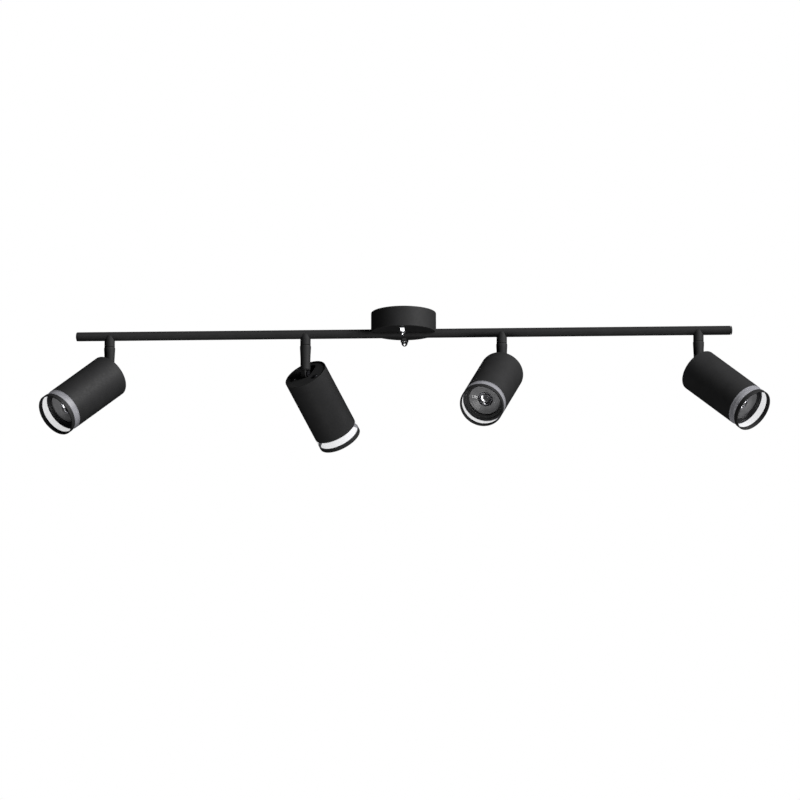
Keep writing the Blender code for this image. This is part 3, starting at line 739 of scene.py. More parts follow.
@dataclass
class Canopy(Assembly):
    """Ceiling cup with its bracket, cap nuts, nipple and terminal block."""

    radius: float = 40.0 * MM
    height: float = 25.0 * MM
    wall: float = 1.5 * MM
    edge: float = 0.8 * MM
    bar_height: float = -25.8 * MM
    bar_radius: float = 5.6 * MM
    stud_place: float = 28.5 * MM
    stud_radius: float = 2.0 * MM
    bracket_half: float = 35.5 * MM
    bracket_width: float = 18.0 * MM
    bracket_thickness: float = 1.2 * MM
    slot_place: float = 15.5 * MM
    slot_radius: float = 2.25 * MM
    slot_half: float = 2.25 * MM
    earth_hole: float = 1.8 * MM
    nut_across: float = 8.4 * MM
    nut_height: float = 5.0 * MM
    nut_overall: float = 10.2 * MM
    nut_crown: float = 2.4 * MM
    nut_neck: float = 0.4 * MM
    nut_edge: float = 0.12 * MM
    bracket_edge: float = 0.15 * MM
    stud_pitch: float = 0.7 * MM
    stud_thread: float = 0.22 * MM
    stud_run_out: float = 6.0 * MM
    nipple_radius: float = 3.2 * MM
    nipple_bore: float = 2.2 * MM
    nipple_chamfer: float = 0.3 * MM
    nipple_pitch: float = 0.75 * MM
    nipple_thread: float = 0.2 * MM
    nipple_dip: float = 2.4 * MM
    nipple_rise: float = 1.5 * MM
    lock_nut_across: float = 11.0 * MM
    lock_nut_height: float = 3.0 * MM
    block_size: Corner = (14.0 * MM, 26.0 * MM, 11.0 * MM)
    block_clearance: float = 3.0 * MM
    block_edge: float = 0.35 * MM
    notch_half: float = 0.5 * MM
    notch_depth: float = 2.5 * MM
    poles: int = 3
    pole_bore: float = 1.6 * MM
    screw_foot_share: float = 0.62
    screw_head_share: float = 0.78
    screw_slot_half: float = 0.22 * MM

    @property
    def saddle_radius(self) -> float:
        """Outer radius of the groove's back."""
        return self.bar_radius + GAP + self.wall

    @property
    def saddle_top(self) -> float:
        """Height of the groove's back."""
        return self.bar_height + self.saddle_radius

    def build(self) -> None:
        """Build and seat every piece."""
        self.build_cup()
        self.build_bracket()
        self.build_cap_nut("cap_nut_front", -self.stud_place)
        self.build_cap_nut("cap_nut_rear", self.stud_place)
        self.build_nipple()
        self.build_block()

    def build_cup(self) -> None:
        """Shape the cup: a turned shell with the bar's groove pressed across its floor."""
        inner = self.radius - self.wall
        cup = turn_solid("canopy.fine", [
            (self.radius, -self.height), (self.radius, 0.0), (inner, 0.0),
            (inner, -self.height + self.wall)], Flats.SHELL)
        soften(cup, self.edge, 5)
        half = (inner + self.radius) / 2
        work(cup, lay(rod("saddle_tool", self.saddle_radius, -half, half, Flats.ROD),
                      (0.0, 0.0, self.bar_height), ALONG_X), Cut.JOIN)
        wide = 2 * self.radius
        deep = -self.height - 2 * self.saddle_radius
        work(cup, block("floor_tool", (-wide, -wide, deep), (wide, wide, -self.height)))
        drill(cup, self.bar_radius + GAP, -wide, wide, Flats.ROD, (0.0, 0.0, self.bar_height),
              ALONG_X)
        drill(cup, self.nipple_radius + GAP, self.bar_height, 0.0, Flats.PIN)
        for side in (-1, 1):
            drill(cup, self.stud_radius + 2 * GAP, -2 * self.wall, 2 * self.wall, Flats.PIN,
                  (0.0, side * self.stud_place, -self.height))
        self.seat(cup, PAINT, "root", "canopy")

    def build_bracket(self) -> None:
        """Shape the strip with its slots and its two threaded studs."""
        half_width = self.bracket_width / 2
        reach = self.bracket_half - half_width
        strip = slot_bar("mounting_bracket.fine", -reach, reach, half_width,
                         -self.bracket_thickness, 0.0, Flats.SMALL_ROD)
        bracket = lay(strip, turned=(0.0, 0.0, math.pi / 2))
        for side in (-1, 1):
            work(bracket, lay(slot_bar("slot_tool", -self.slot_half, self.slot_half,
                                       self.slot_radius, -2 * self.bracket_thickness,
                                       self.bracket_thickness, Flats.HOLE),
                              (0.0, side * self.slot_place, 0.0)))
        drill(bracket, self.earth_hole, -2 * self.bracket_thickness, self.bracket_thickness)
        soften(bracket, self.bracket_edge, 2)
        foot = -self.height - GAP - self.nut_overall + self.nut_crown + GAP
        run = thread(self.stud_radius, foot + self.nut_neck, -self.stud_run_out, self.stud_pitch,
                     self.stud_thread)
        shank = [(self.stud_radius * 0.7, foot), *run, (self.stud_radius, -5.6 * MM),
                 (self.stud_radius, -self.bracket_thickness - 0.8 * MM),
                 (self.stud_radius * 1.5, -self.bracket_thickness - 0.3 * MM),
                 (self.stud_radius * 1.5, -self.bracket_thickness / 2)]
        for side in (-1, 1):
            stud = turn_solid("stud", shank, Flats.HOLE)
            work(bracket, lay(stud, (0.0, side * self.stud_place, 0.0)), Cut.JOIN)
        self.seat(bracket, ZINC, "root", "mounting_bracket")

    def build_cap_nut(self, node: str, place: float) -> None:
        """Shape an acorn nut: a hexagon with turned corners, a neck and a dome.

        Args:
            node: The nut's node.
            place: Its place on Y.
        """
        radius = self.nut_across / 2
        nut = hexagon_nut(f"{node}.fine", self.nut_across, -self.nut_height, 0.0, None)
        crown = turn_solid("crown", [
            (radius * 0.9, -self.nut_height / 2), (radius * 0.9, -self.nut_height),
            *dome(radius * 0.93, -self.nut_height - self.nut_neck,
                  self.nut_height + self.nut_neck - self.nut_overall, 12)], Flats.ROD)
        work(nut, crown, Cut.JOIN)
        drill(nut, self.stud_radius + GAP, -self.nut_overall + self.nut_crown, MM, Flats.PIN)
        soften(nut, self.nut_edge, 2, 25.0)
        self.seat(lay(nut, (0.0, place, -self.height - GAP)), CHROME, "root", node)

    def build_nipple(self) -> None:
        """Shape the threaded hollow nipple and its lock nut."""
        nut_low = self.saddle_top + GAP
        nut_high = nut_low + self.lock_nut_height
        low = self.bar_height + self.bar_radius - self.nipple_dip
        top = nut_high + self.nipple_rise
        run = thread(self.nipple_radius, low, top, self.nipple_pitch, self.nipple_thread)
        nipple = turn_ring("bar_nipple.fine", [
            *run, (self.nipple_bore + self.nipple_chamfer, top),
            (self.nipple_bore, top - self.nipple_chamfer), (self.nipple_bore, low)], Flats.RIVET)
        self.seat(nipple, ZINC, "root", "bar_nipple")
        nut = hexagon_nut("bar_lock_nut.fine", self.lock_nut_across, nut_low, nut_high,
                          self.nipple_radius + GAP)
        self.seat(nut, ZINC, "root", "bar_lock_nut")

    def build_block(self) -> None:
        """Shape the terminal block, with a brass screw down each of its wells."""
        width, length, height = self.block_size
        centre = -self.lock_nut_across / math.sqrt(3.0) - self.block_clearance - width / 2
        low = self.saddle_top + GAP
        body = block("terminal_block.fine", (-width / 2, -length / 2, 0.0),
                     (width / 2, length / 2, height))
        pitch = length / self.poles
        places = [(pole - (self.poles - 1) / 2) * pitch for pole in range(self.poles)]
        for place in places[:-1]:
            middle = place + pitch / 2
            groove = (middle - self.notch_half, middle + self.notch_half)
            for side in (-1, 1):
                across = sorted((side * width, side * (width / 2 - self.notch_depth)))
                work(body, block("notch_tool", (across[0], groove[0], -MM),
                                 (across[1], groove[1], height + MM)))
        soften(body, self.block_edge, 3)
        for place in places:
            drill(body, self.pole_bore, -width, width, place=(0.0, place, height / 2),
                  turned=ALONG_X)
            drill(body, self.pole_bore, height / 2, 2 * height, place=(0.0, place, 0.0))
        self.seat(lay(body, (centre, 0.0, low)), NYLON, "root", "terminal_block")
        for number, place in enumerate(places, start=1):
            head = low + height * self.screw_head_share
            screw = turn_solid(f"terminal_screw_{number}", [
                (self.pole_bore * 0.6, low + height * self.screw_foot_share),
                (self.pole_bore * 0.9, head),
                (self.pole_bore * 0.9, head + 0.8 * MM),
                (self.pole_bore * 0.75, head + MM)], Flats.HOLE)
            half = self.screw_slot_half
            work(screw, block("driver_tool", (-half, -2 * MM, head + 0.4 * MM),
                              (half, 2 * MM, head + 2 * MM)))
            self.seat(lay(screw, (centre, place, 0.0)), BRASS, "root")


@dataclass
class Bar(Assembly):
    """The round bar, its end caps and the sockets under it."""

    stems: Sequence[float] = ()
    length: float = 808.0 * MM
    radius: float = 5.6 * MM
    wall: float = 1.2 * MM
    height: float = -25.8 * MM
    cap_dome: float = 2.2 * MM
    cap_plug: float = 6.0 * MM
    cap_land: float = 0.4 * MM
    plug_taper: float = 0.6 * MM
    tube_edge: float = 0.15 * MM
    nipple_hole: float = 3.5 * MM
    wire_hole: float = 1.7 * MM
    socket_radius: float = 6.4 * MM
    socket_wall: float = 1.1 * MM
    socket_drop: float = 13.9 * MM
    socket_floor: float = 2.5 * MM
    socket_edge: float = 0.5 * MM
    spigot_hole: float = 3.8 * MM

    def build(self) -> None:
        """Build and seat every piece."""
        self.build_tube()
        self.build_cap("end_cap_left", -1)
        self.build_cap("end_cap_right", 1)
        self.build_sockets()

    def build_tube(self) -> None:
        """Shape the tube, with a hole on top for the nipple and one below at each stem."""
        half = self.length / 2 - self.cap_dome - GAP
        bar = tube("bar_tube.fine", self.radius, self.radius - self.wall, -half, half, Flats.ROD)
        soften(bar, self.tube_edge, 2)
        lay(bar, turned=ALONG_X)
        drill(bar, self.nipple_hole, 0.0, 2 * self.radius)
        for stem in self.stems:
            drill(bar, self.wire_hole, -2 * self.radius, 0.0, place=(stem, 0.0, 0.0))
        self.seat(lay(bar, (0.0, 0.0, self.height)), PAINT, "root", "bar_tube")

    def build_cap(self, node: str, side: int) -> None:
        """Shape a domed end cap with its plug.

        Args:
            node: The cap's node.
            side: The bar's end, -1 or 1 on X.
        """
        seat = self.length / 2 - self.cap_dome
        plug = self.radius - self.wall - GAP
        end = seat - self.cap_plug
        profile = [(plug - self.cap_land, end), (plug, end + self.plug_taper), (plug, seat),
                   (self.radius - 0.1 * MM, seat), (self.radius, seat + 0.12 * MM),
                   *dome(self.radius, seat + self.cap_land, self.cap_dome - self.cap_land, 12)]
        cap = turn_solid(f"{node}.fine", profile, Flats.ROD)
        lay(cap, (0.0, 0.0, self.height), (0.0, side * math.pi / 2, 0.0))
        self.seat(cap, PAINT, "root", node)

    def build_sockets(self) -> None:
        """Shape a socket: a cup that embraces the bar, with the spigot's hole in its floor."""
        inner = self.socket_radius - self.socket_wall
        edge = self.socket_edge
        low = -self.socket_drop
        cup = turn_ring("socket_pattern", [
            (self.socket_radius, 0.0), (self.socket_radius, low + edge),
            (self.socket_radius - 0.3 * edge, low + 0.3 * edge),
            (self.socket_radius - edge, low), (self.spigot_hole, low),
            (self.spigot_hole, low + self.socket_floor), (inner, low + self.socket_floor),
            (inner, 0.0)], Flats.ROD)
        drill(cup, self.radius + GAP, -2 * self.socket_radius, 2 * self.socket_radius, Flats.ROD,
              turned=ALONG_X)
        for number, stem in enumerate(self.stems, start=1):
            piece = copy_of(cup, f"stem_socket_{number}.fine")
            lay(piece, (stem, 0.0, self.height))
            self.seat(piece, PAINT, "root", f"stem_socket_{number}")
        bpy.data.objects.remove(cup, do_unlink=True)


@dataclass(frozen=True)
class Pose:
    """Where one spot stands: its stem's swivel frame and its tilt frame."""

    number: int
    swivel: Matrix
    tilt: Matrix

    @classmethod
    def read(cls, number: int, joints: dict[str, dict]) -> Pose:
        """Work out a spot's frames from its two joints.

        Args:
            number: The spot's number.
            joints: The frame's joints by name.

        Returns:
            The pose at rest. The tilt joint's low end is the spot hanging straight down.
        """
        swivel, tilt = joints[f"swivel_{number}"], joints[f"tilt_{number}"]
        turn = math.atan2(tilt["axis"][0], -tilt["axis"][1])
        lean = -math.radians(tilt["range_deg"][0])
        heading = Matrix.Rotation(turn, 4, "Z")
        leaning = Matrix.Rotation(-lean, 4, "Y")
        return cls(number, Matrix.Translation(swivel["pos_m"]) @ heading,
                   Matrix.Translation(tilt["pos_m"]) @ heading @ leaning)


@dataclass
class Stem(Assembly):
    """The swivel arm and its nut, shaped once and set at each stem."""

    poses: Sequence[Pose] = ()
    radius: float = 6.15 * MM
    collar: float = 6.85 * MM
    collar_top: float = -14.2 * MM
    collar_height: float = 3.0 * MM
    collar_edge: float = 0.7 * MM
    collar_fillet: float = 0.2 * MM
    taper_height: float = 14.0 * MM
    tip_height: float = 2.4 * MM
    tip_narrowing: float = 1.6 * MM
    tip_steps: int = 6
    spigot_radius: float = 3.5 * MM
    spigot_top: float = -7.3 * MM
    spigot_neck: float = 0.6 * MM
    spigot_tip: float = 0.4 * MM
    spigot_pitch: float = 0.75 * MM
    spigot_thread: float = 0.18 * MM
    pivot: float = -50.1 * MM
    shoulder: float = 4.2 * MM
    tongue_radius: float = 5.23 * MM
    tongue_half: float = 3.0 * MM
    tongue_edge: float = 0.5 * MM
    pin_hole: float = 1.8 * MM
    bore: float = 1.7 * MM
    bore_offset: float = 2.9 * MM
    nut_across: float = 8.6 * MM
    nut_low: float = -11.1 * MM
    nut_height: float = 3.0 * MM

    def build(self) -> None:
        """Build the arm and its nut, and seat a copy of each at every stem."""
        arm = self.shape_arm()
        nut = hexagon_nut("nut_pattern", self.nut_across, self.nut_low,
                          self.nut_low + self.nut_height, self.spigot_radius + GAP)
        for pose in self.poses:
            for pattern, node, finish in ((arm, "swivel_arm", PAINT), (nut, "swivel_nut", ZINC)):
                piece = copy_of(pattern, f"{node}_{pose.number}.fine")
                piece.matrix_world = pose.swivel
                settle(piece)
                self.seat(piece, finish, f"arm_{pose.number}", f"{node}_{pose.number}")
        for pattern in (arm, nut):
            bpy.data.objects.remove(pattern, do_unlink=True)

    def shape_arm(self) -> Piece:
        """Return the arm: threaded spigot, collar, tapered shank and rounded tongue."""
        top = self.collar_top
        taper_end = top - self.collar_height - self.taper_height
        foot = self.pivot + self.shoulder
        tip = foot + self.tip_height
        run = thread(self.spigot_radius, top + self.spigot_neck, self.spigot_top - self.spigot_tip,
                     self.spigot_pitch, self.spigot_thread)
        spigot = [(self.spigot_radius * 0.85, self.spigot_top), *reversed(run),
                  (self.spigot_radius, top)]
        edge, fillet = self.collar_edge, self.collar_fillet
        shank = [(self.collar - edge, top), (self.collar - fillet, top - fillet),
                 (self.collar, top - edge), (self.collar, top - self.collar_height),
                 (self.collar - 0.12 * MM, top - self.collar_height - 2.0 * MM),
                 (self.radius + 0.1 * MM, taper_end + 2.5 * MM), (self.radius, taper_end),
                 (self.radius, tip)]
        rounding = []
        for step in range(1, self.tip_steps + 1):
            turn = math.pi / 2 * step / self.tip_steps
            rounding.append((self.radius - self.tip_narrowing * (1.0 - math.cos(turn)),
                             tip - self.tip_height * math.sin(turn)))
        arm = turn_solid("arm_pattern", [*spigot, *shank, *rounding], Flats.ROD)
        tongue = round_lug("tongue", self.tongue_radius, self.shoulder + 1.5 * MM,
                           self.tongue_half, Flats.SMALL_ROD)
        soften(tongue, self.tongue_edge, 3)
        work(arm, lay(tongue, (0.0, 0.0, self.pivot)), Cut.JOIN)
        drill(arm, self.pin_hole, -self.radius, self.radius, place=(0.0, 0.0, self.pivot),
              turned=ALONG_Y)
        crossing = top - self.collar_height - self.taper_height / 2
        drill(arm, self.bore, crossing, self.spigot_top + MM)
        drill(arm, self.bore, self.pivot - self.radius, crossing + 2 * self.bore,
              place=(-self.bore_offset, 0.0, 0.0))
        return arm


@dataclass
class Spot(Assembly):
    """The spot's head. Its front looks down its own -Z, and its pivot is its origin."""

    poses: Sequence[Pose] = ()
    radius: float = 27.15 * MM
    bore: float = 26.15 * MM
    shade_front: float = 86.4 * MM
    shade_edge: float = 0.35 * MM
    cap_rear: float = 1.5 * MM
    cap_front: float = 3.0 * MM
    cap_edge: float = 0.2 * MM
    arm_slot: float = 6.65 * MM
    arm_slot_reach: float = 15.0 * MM
    pin_radius: float = 1.5 * MM
    pin_half: float = 5.4 * MM
    ear_radius: float = 3.5 * MM
    ear_inner: float = 3.3 * MM
    ear_outer: float = 4.9 * MM
    yoke_rear: float = 7.0 * MM
    yoke_front: float = 8.5 * MM
    yoke_margin: float = 4.0 * MM
    yoke_edge: float = 0.3 * MM
    rivet_back: float = 6.0 * MM
    rivet_side: float = 16.0 * MM
    rivet_radius: float = 1.8 * MM
    rivet_head: float = 3.7 * MM
    rivet_height: float = 1.2 * MM
    rivet_boss: float = 3.5 * MM
    holder_radius: float = 13.5 * MM
    holder_rear: float = 8.8 * MM
    holder_front: float = 30.1 * MM
    holder_neck: float = 4.0 * MM
    holder_shoulder: float = 6.0 * MM
    holder_edge: float = 0.6 * MM
    keyhole_play: float = 0.8 * MM
    lamp_radius: float = 25.0 * MM
    lamp_rear: float = 30.4 * MM
    lamp_front: float = 84.4 * MM
    lamp_base: float = 12.0 * MM
    lamp_base_height: float = 14.0 * MM
    lamp_rim: float = 5.0 * MM
    flare_steps: int = 5
    lamp_pin_radius: float = 1.7 * MM
    lamp_pin_place: float = 5.0 * MM
    lamp_pin_length: float = 6.0 * MM
    face_radius: float = 22.0 * MM
    face_depth: float = 2.0 * MM
    face_steps: int = 5
    ring_dish: float = 0.5 * MM
    cup_radius: float = 9.4 * MM
    cup_depth: float = 6.5 * MM
    cup_steps: int = 10
    lens_radius: float = 3.4 * MM
    baffle_rear: float = 84.7 * MM
    baffle_front: float = 86.4 * MM
    baffle_opening: float = 19.7 * MM
    baffle_edge: float = 0.28 * MM
    groove_outer: float = 23.65 * MM
    groove_inner: float = 22.05 * MM
    groove_depth: float = 0.8 * MM
    ring_rear: float = 86.7 * MM
    ring_front: float = 95.45 * MM
    ring_wall: float = 1.3 * MM
    ring_edge: float = 0.2 * MM
    bezel_rear: float = 95.75 * MM
    bezel_front: float = 101.2 * MM
    bezel_wall: float = 1.6 * MM
    bezel_edge: float = 0.45 * MM

    def build(self) -> None:
        """Shape each piece of the head once and seat a copy of it on every spot."""
        patterns = [
            (self.shape_pin(), "tilt_pin", BLACK_ZINC, True),
            (self.shape_yoke(), "pivot_yoke", BLACK_ZINC, True),
            (self.shape_rear_cap(), "rear_cap", PAINT, True),
            (self.shape_shade(), "shade", PAINT, True),
            (self.shape_holder(), "lamp_holder", CERAMIC, True),
            (self.shape_lamp(), "lamp", LAMP_SHELL, True),
            (self.shape_reflector(), "lamp_reflector", REFLECTOR, False),
            (self.shape_lens(), "lamp_lens", LENS, False),
            (self.shape_baffle(), "baffle_ring", DEEP_PAINT, True),
            (self.shape_clear_ring(), "clear_ring", ACRYLIC, True),
            (self.shape_bezel(), "bezel", PAINT, True),
        ]
        for pose in self.poses:
            for pattern, name, finish, stands_for_node in patterns:
                piece = copy_of(pattern, f"{name}_{pose.number}.fine")
                piece.matrix_world = pose.tilt
                settle(piece)
                nodes = (f"{name}_{pose.number}",) if stands_for_node else ()
                self.seat(piece, finish, f"spot_{pose.number}", *nodes)
        for pattern, *_ in patterns:
            bpy.data.objects.remove(pattern, do_unlink=True)

    def shape_pin(self) -> Piece:
        """Return the tilt pin, with a low domed head at each end."""
        half, radius = self.pin_half, self.pin_radius
        pin = turn_solid("pin_pattern", [
            (radius * 0.6, -half), (radius * 0.9, -half + 0.15 * MM), (radius, -half + 0.4 * MM),
            (radius, half - 0.4 * MM), (radius * 0.9, half - 0.15 * MM),
            (radius * 0.6, half)], Flats.PIN)
        return lay(pin, turned=ALONG_Y)

    def shape_yoke(self) -> Piece:
        """Return the yoke: a plate with two ears and two bosses riveted through the cap."""
        back = self.rivet_back + self.rivet_boss
        side = self.rivet_side + self.rivet_boss
        yoke = block("yoke_pattern", (-back, -side, -self.yoke_front),
                     (self.ear_radius + self.yoke_margin, side, -self.yoke_rear))
        soften(yoke, self.yoke_edge, 3)
        middle = (self.ear_inner + self.ear_outer) / 2
        for sign in (-1, 1):
            ear = round_lug("ear", self.ear_radius, -(self.yoke_rear + self.yoke_front) / 2,
                            (self.ear_outer - self.ear_inner) / 2, Flats.SMALL_ROD)
            work(yoke, lay(ear, (0.0, sign * middle, 0.0)), Cut.JOIN)
        drill(yoke, self.pin_radius + GAP, -2 * self.ear_outer, 2 * self.ear_outer, Flats.PIN,
              turned=ALONG_Y)
        rivet = [(self.rivet_boss, -(self.yoke_rear + self.yoke_front) / 2),
                 (self.rivet_boss, -self.cap_front - GAP),
                 (self.rivet_radius, -self.cap_front - GAP),
                 (self.rivet_radius, -self.cap_rear + GAP),
                 (self.rivet_head - 0.1 * MM, -self.cap_rear + GAP),
                 *dome(self.rivet_head, -self.cap_rear + GAP + 0.15 * MM,
                       self.rivet_height - 0.15 * MM, 8)]
        for sign in (-1, 1):
            stud = lay(turn_solid("rivet", rivet, Flats.RIVET),
                       (-self.rivet_back, sign * self.rivet_side, 0.0))
            work(yoke, stud, Cut.JOIN)
        return yoke

    def shape_rear_cap(self) -> Piece:
        """Return the rear disc, with the arm's slot and two rivet holes."""
        radius = self.bore - GAP
        cap = turn_solid("cap_pattern", [(radius, -self.cap_front), (radius, -self.cap_rear)],
                         Flats.FACE)
        work(cap, slot_bar("slot_tool", 0.0, self.arm_slot_reach, self.arm_slot,
                           -self.cap_front - MM, -self.cap_rear + MM, Flats.ROD))
        for sign in (-1, 1):
            drill(cap, self.rivet_radius + GAP, -self.cap_front - MM, -self.cap_rear + MM,
                  place=(-self.rivet_back, sign * self.rivet_side, 0.0))
        soften(cap, self.cap_edge, 2)
        return cap

    def shape_shade(self) -> Piece:
        """Return the shade: a thin tube with softly rounded rims."""
        shade = tube("shade_pattern", self.radius, self.bore, -self.shade_front, 0.0, Flats.SHELL)
        soften(shade, self.shade_edge, 4)
        return shade

    def shape_holder(self) -> Piece:
        """Return the ceramic holder, with a waist and the lamp's two keyholes."""
        rear, front = -self.holder_rear, -self.holder_front
        radius = self.holder_radius
        waist = rear - self.holder_neck
        holder = turn_solid("holder_pattern", [
            (radius * 0.8, rear), (radius * 0.8, waist), (radius, rear - self.holder_shoulder),
            (radius, front)], Flats.ROD)
        soften(holder, self.holder_edge, 3, 20.0)
        for sign in (-1, 1):
            drill(holder, self.lamp_pin_radius + self.keyhole_play, front - MM, waist,
                  place=(0.0, sign * self.lamp_pin_place, 0.0))
        return holder

    def shape_lamp(self) -> Piece:
        """Return the lamp's shell: base, ribbed flare, rim and two pins."""
        rear, front = -self.lamp_rear, -self.lamp_front
        flare_top = rear - self.lamp_base_height
        rim_back = front + self.lamp_rim
        flare = []
        for step in range(self.flare_steps):
            share, following = step / self.flare_steps, (step + 1) / self.flare_steps
            height = flare_top + (rim_back - flare_top) * share
            lower = flare_top + (rim_back - flare_top) * following
            radius = self.lamp_base + (self.lamp_radius - self.lamp_base) * share
            wider = self.lamp_base + (self.lamp_radius - self.lamp_base) * following
            flare += [(radius, height), (wider - 0.4 * MM, lower + 0.5 * MM)]
        face = [(self.face_radius, front + 0.4 * MM)]
        for step in range(self.face_steps):
            share, following = step / self.face_steps, (step + 1) / self.face_steps
            depth = front + self.face_depth * (1.0 + 0.5 * share)
            outer = self.face_radius - (self.face_radius - self.cup_radius) * share
            inner = self.face_radius - (self.face_radius - self.cup_radius) * following
            dish = self.ring_dish * (0.6 + share)
            face += [(outer, depth), (inner + 0.4 * MM, depth + dish),
                     (inner + 0.1 * MM, depth + dish - 0.1 * MM)]
        cup_floor = front + self.face_depth + self.cup_depth
        lamp = turn_solid("lamp_pattern", [
            (self.lamp_base, rear), *flare, (self.lamp_radius, rim_back),
            (self.lamp_radius, front + 0.6 * MM), (self.lamp_radius - 0.6 * MM, front),
            (self.face_radius + 0.4 * MM, front), *face, (self.cup_radius, cup_floor)], Flats.FACE)
        pin = turn_solid("lamp_pin", [
            (self.lamp_pin_radius * 0.7, rear - MM), (self.lamp_pin_radius * 0.7, rear + 3.6 * MM),
            (self.lamp_pin_radius, rear + 3.9 * MM),
            (self.lamp_pin_radius, rear + self.lamp_pin_length - 0.3 * MM),
            (self.lamp_pin_radius * 0.8, rear + self.lamp_pin_length)], Flats.HOLE)
        for sign in (-1, 1):
            work(lamp, lay(copy_of(pin, "lamp_pin"), (0.0, sign * self.lamp_pin_place, 0.0)),
                 Cut.JOIN)
        bpy.data.objects.remove(pin, do_unlink=True)
        return lamp

    def shape_reflector(self) -> Piece:
        """Return the bright bowl inside the lamp's central cup."""
        mouth = -self.lamp_front + self.face_depth * 1.5 + 0.4 * MM
        floor = -self.lamp_front + self.face_depth + self.cup_depth - GAP
        wide, narrow = self.cup_radius - GAP, self.lens_radius + 0.5 * MM
        brim = wide - 0.3 * MM
        inside = [(brim, mouth)]
        for step in range(1, self.cup_steps + 1):
            turn = math.pi / 2 * step / self.cup_steps
            radius = narrow + (brim - narrow) * math.cos(turn)
            inside.append((radius, mouth + (floor - 0.8 * MM - mouth) * math.sin(turn)))
        return turn_ring("reflector_pattern", [*inside, (narrow, floor), (wide, floor),
                                               (wide, mouth + 0.2 * MM)], Flats.FACE)

    def shape_lens(self) -> Piece:
        """Return the central lens: a stepped skirt under a clear dome."""
        floor = -self.lamp_front + self.face_depth + self.cup_depth - GAP
        radius = self.lens_radius
        skirt = floor - 0.35 * self.cup_depth
        return turn_solid("lens_pattern", [
            (radius, floor), (radius, skirt), (radius * 0.94, skirt - 0.2 * MM),
            *dome(radius * 0.88, skirt - 0.4 * MM, -0.42 * self.cup_depth, 16)], Flats.LENS)

    def shape_baffle(self) -> Piece:
        """Return the flat ring round the lamp, with a groove in its front face."""
        rear, front = -self.baffle_rear, -self.baffle_front
        outer = self.bore - GAP
        baffle = turn_ring("baffle_pattern", [
            (outer, rear), (outer, front), (self.groove_outer, front),
            (self.groove_outer, front + self.groove_depth),
            (self.groove_inner, front + self.groove_depth), (self.groove_inner, front),
            (self.baffle_opening, front), (self.baffle_opening, rear)], Flats.FACE)
        soften(baffle, self.baffle_edge, 3)
        return baffle

    def shape_clear_ring(self) -> Piece:
        """Return the clear ring between the shade and the bezel."""
        ring = tube("ring_pattern", self.radius, self.radius - self.ring_wall, -self.ring_front,
                    -self.ring_rear, Flats.SHELL)
        soften(ring, self.ring_edge, 3)
        return ring

    def shape_bezel(self) -> Piece:
        """Return the front bezel, with its lip rounded."""
        bezel = tube("bezel_pattern", self.radius, self.radius - self.bezel_wall,
                     -self.bezel_front, -self.bezel_rear, Flats.SHELL)
        soften(bezel, self.bezel_edge, 4)
        return bezel


# ---------------------------------------------------------------------------------------------
# Studio.


@dataclass(frozen=True)
class Softbox:
    """A soft rectangular light that looks at the fixture."""

    name: str
    place: Corner
    width: float
    height: float
    power: float
    fills: bool = True
    mirrored: bool = True

    def hang(self, target: Vector) -> None:
        """Hang the light so that it faces the fixture.

        Args:
            target: The point that it faces.
        """
        data = bpy.data.lights.new(self.name, "AREA")
        data.shape = "RECTANGLE"
        data.size = self.width
        data.size_y = self.height
        data.energy = self.power
        lamp = bpy.data.objects.new(self.name, data)
        bpy.context.scene.collection.objects.link(lamp)
        lamp.location = self.place
        lamp.rotation_euler = (target - Vector(self.place)).to_track_quat("-Z", "Y").to_euler()
        lamp.visible_camera = False
        lamp.visible_transmission = False
        lamp.visible_diffuse = self.fills
        lamp.visible_glossy = self.mirrored


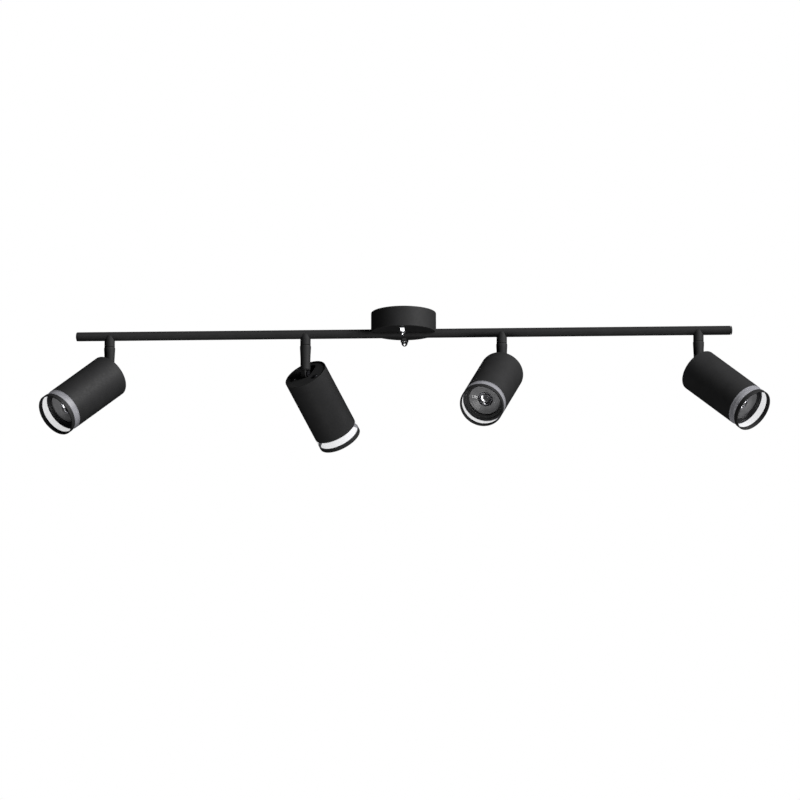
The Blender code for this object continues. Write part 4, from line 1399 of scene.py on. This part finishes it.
@dataclass(frozen=True)
class Studio:
    """Plain white studio: a pale floor far below, soft lights and the camera."""

    azimuth: float = math.radians(2.485)
    elevation: float = math.radians(-12.903)
    distance: float = 9.02
    aim_right: float = -4.355 * MM
    aim_up: float = -106.82 * MM
    lens: float = 329.9
    sensor: float = 36.0
    floor_height: float = -9.5
    floor_width: float = 400.0
    softboxes: tuple[Softbox, ...] = (
        Softbox("key_softbox", (5.6, -3.6, 4.4), 4.0, 4.0, 1170.0),
        Softbox("low_softbox", (0.0, -5.6, -5.7), 4.0, 3.0, 210.0),
        Softbox("glint_softbox", (0.3, -3.0, -7.0), 1.5, 1.1, 120.0),
        Softbox("front_softbox", (0.6, -8.8, 2.1), 3.2, 2.2, 130.0, fills=False),
        Softbox("back_softbox", (-3.0, 7.5, 2.5), 4.0, 4.0, 420.0, mirrored=False),
    )

    def build(self) -> None:
        """Set up background, floor, lights and camera."""
        self.light_background()
        self.lay_floor()
        self.hang_camera()

    def light_background(self) -> None:
        """Make the background white where it is seen, and hang the soft lights."""
        scene = bpy.context.scene
        scene.view_settings.view_transform = "Standard"
        world = bpy.data.worlds.new("white_studio")
        world.use_nodes = True
        world.node_tree.nodes["Background"].inputs["Color"].default_value = (1.0, 1.0, 1.0, 1.0)
        scene.world = world
        world.cycles_visibility.diffuse = False
        world.cycles_visibility.glossy = False
        target = Vector((0.0, 0.0, -60.0 * MM))
        for softbox in self.softboxes:
            softbox.hang(target)

    def lay_floor(self) -> None:
        """Lay the pale floor, which is seen but throws no light on the fixture."""
        pick_only()
        bpy.ops.mesh.primitive_plane_add(size=self.floor_width,
                                         location=(0.0, 0.0, self.floor_height))
        floor = bpy.context.active_object
        floor.name = "pale_floor"
        settle(floor)
        material = bpy.data.materials.new("pale_floor")
        material.use_nodes = True
        wiring = Wiring(material)
        wiring.fix(Base_Color=(0.9, 0.9, 0.9, 1.0), Roughness=1.0,
                   Emission_Color=(1.0, 1.0, 1.0, 1.0), Emission_Strength=1.0)
        floor.data.materials.append(material)
        floor.visible_diffuse = False
        floor.visible_glossy = False

    def hang_camera(self) -> None:
        """Set the camera a little below the fixture, looking up at it."""
        turn, rise = self.azimuth, self.elevation
        right = Vector((math.cos(turn), math.sin(turn), 0.0))
        back = Vector((math.sin(turn) * math.cos(rise), -math.cos(turn) * math.cos(rise),
                       math.sin(rise)))
        up = back.cross(right)
        aim = self.aim_right * right + self.aim_up * up
        data = bpy.data.cameras.new("studio_camera")
        data.lens = self.lens
        data.sensor_width = self.sensor
        data.clip_end = 1000.0
        camera = bpy.data.objects.new("studio_camera", data)
        bpy.context.scene.collection.objects.link(camera)
        camera.location = aim + self.distance * back
        camera.rotation_euler = (-back).to_track_quat("-Z", "Y").to_euler()
        bpy.context.scene.camera = camera


def main() -> None:
    """Build the fixture's looks in order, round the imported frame."""
    logging.basicConfig(level=logging.INFO, format="%(message)s")
    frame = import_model()
    joints = {joint["name"]: joint for joint in frame["joints"]}
    count = sum(name.startswith("tilt_") for name in joints)
    poses = [Pose.read(number, joints) for number in range(1, count + 1)]
    stems = [pose.swivel.translation.x for pose in poses]
    paintbox = Paintbox()
    Studio().build()
    Canopy(paintbox).build()
    Bar(paintbox, stems).build()
    Stem(paintbox, poses).build()
    Spot(paintbox, poses).build()
    pick_only()


if __name__ == "__main__":
    main()
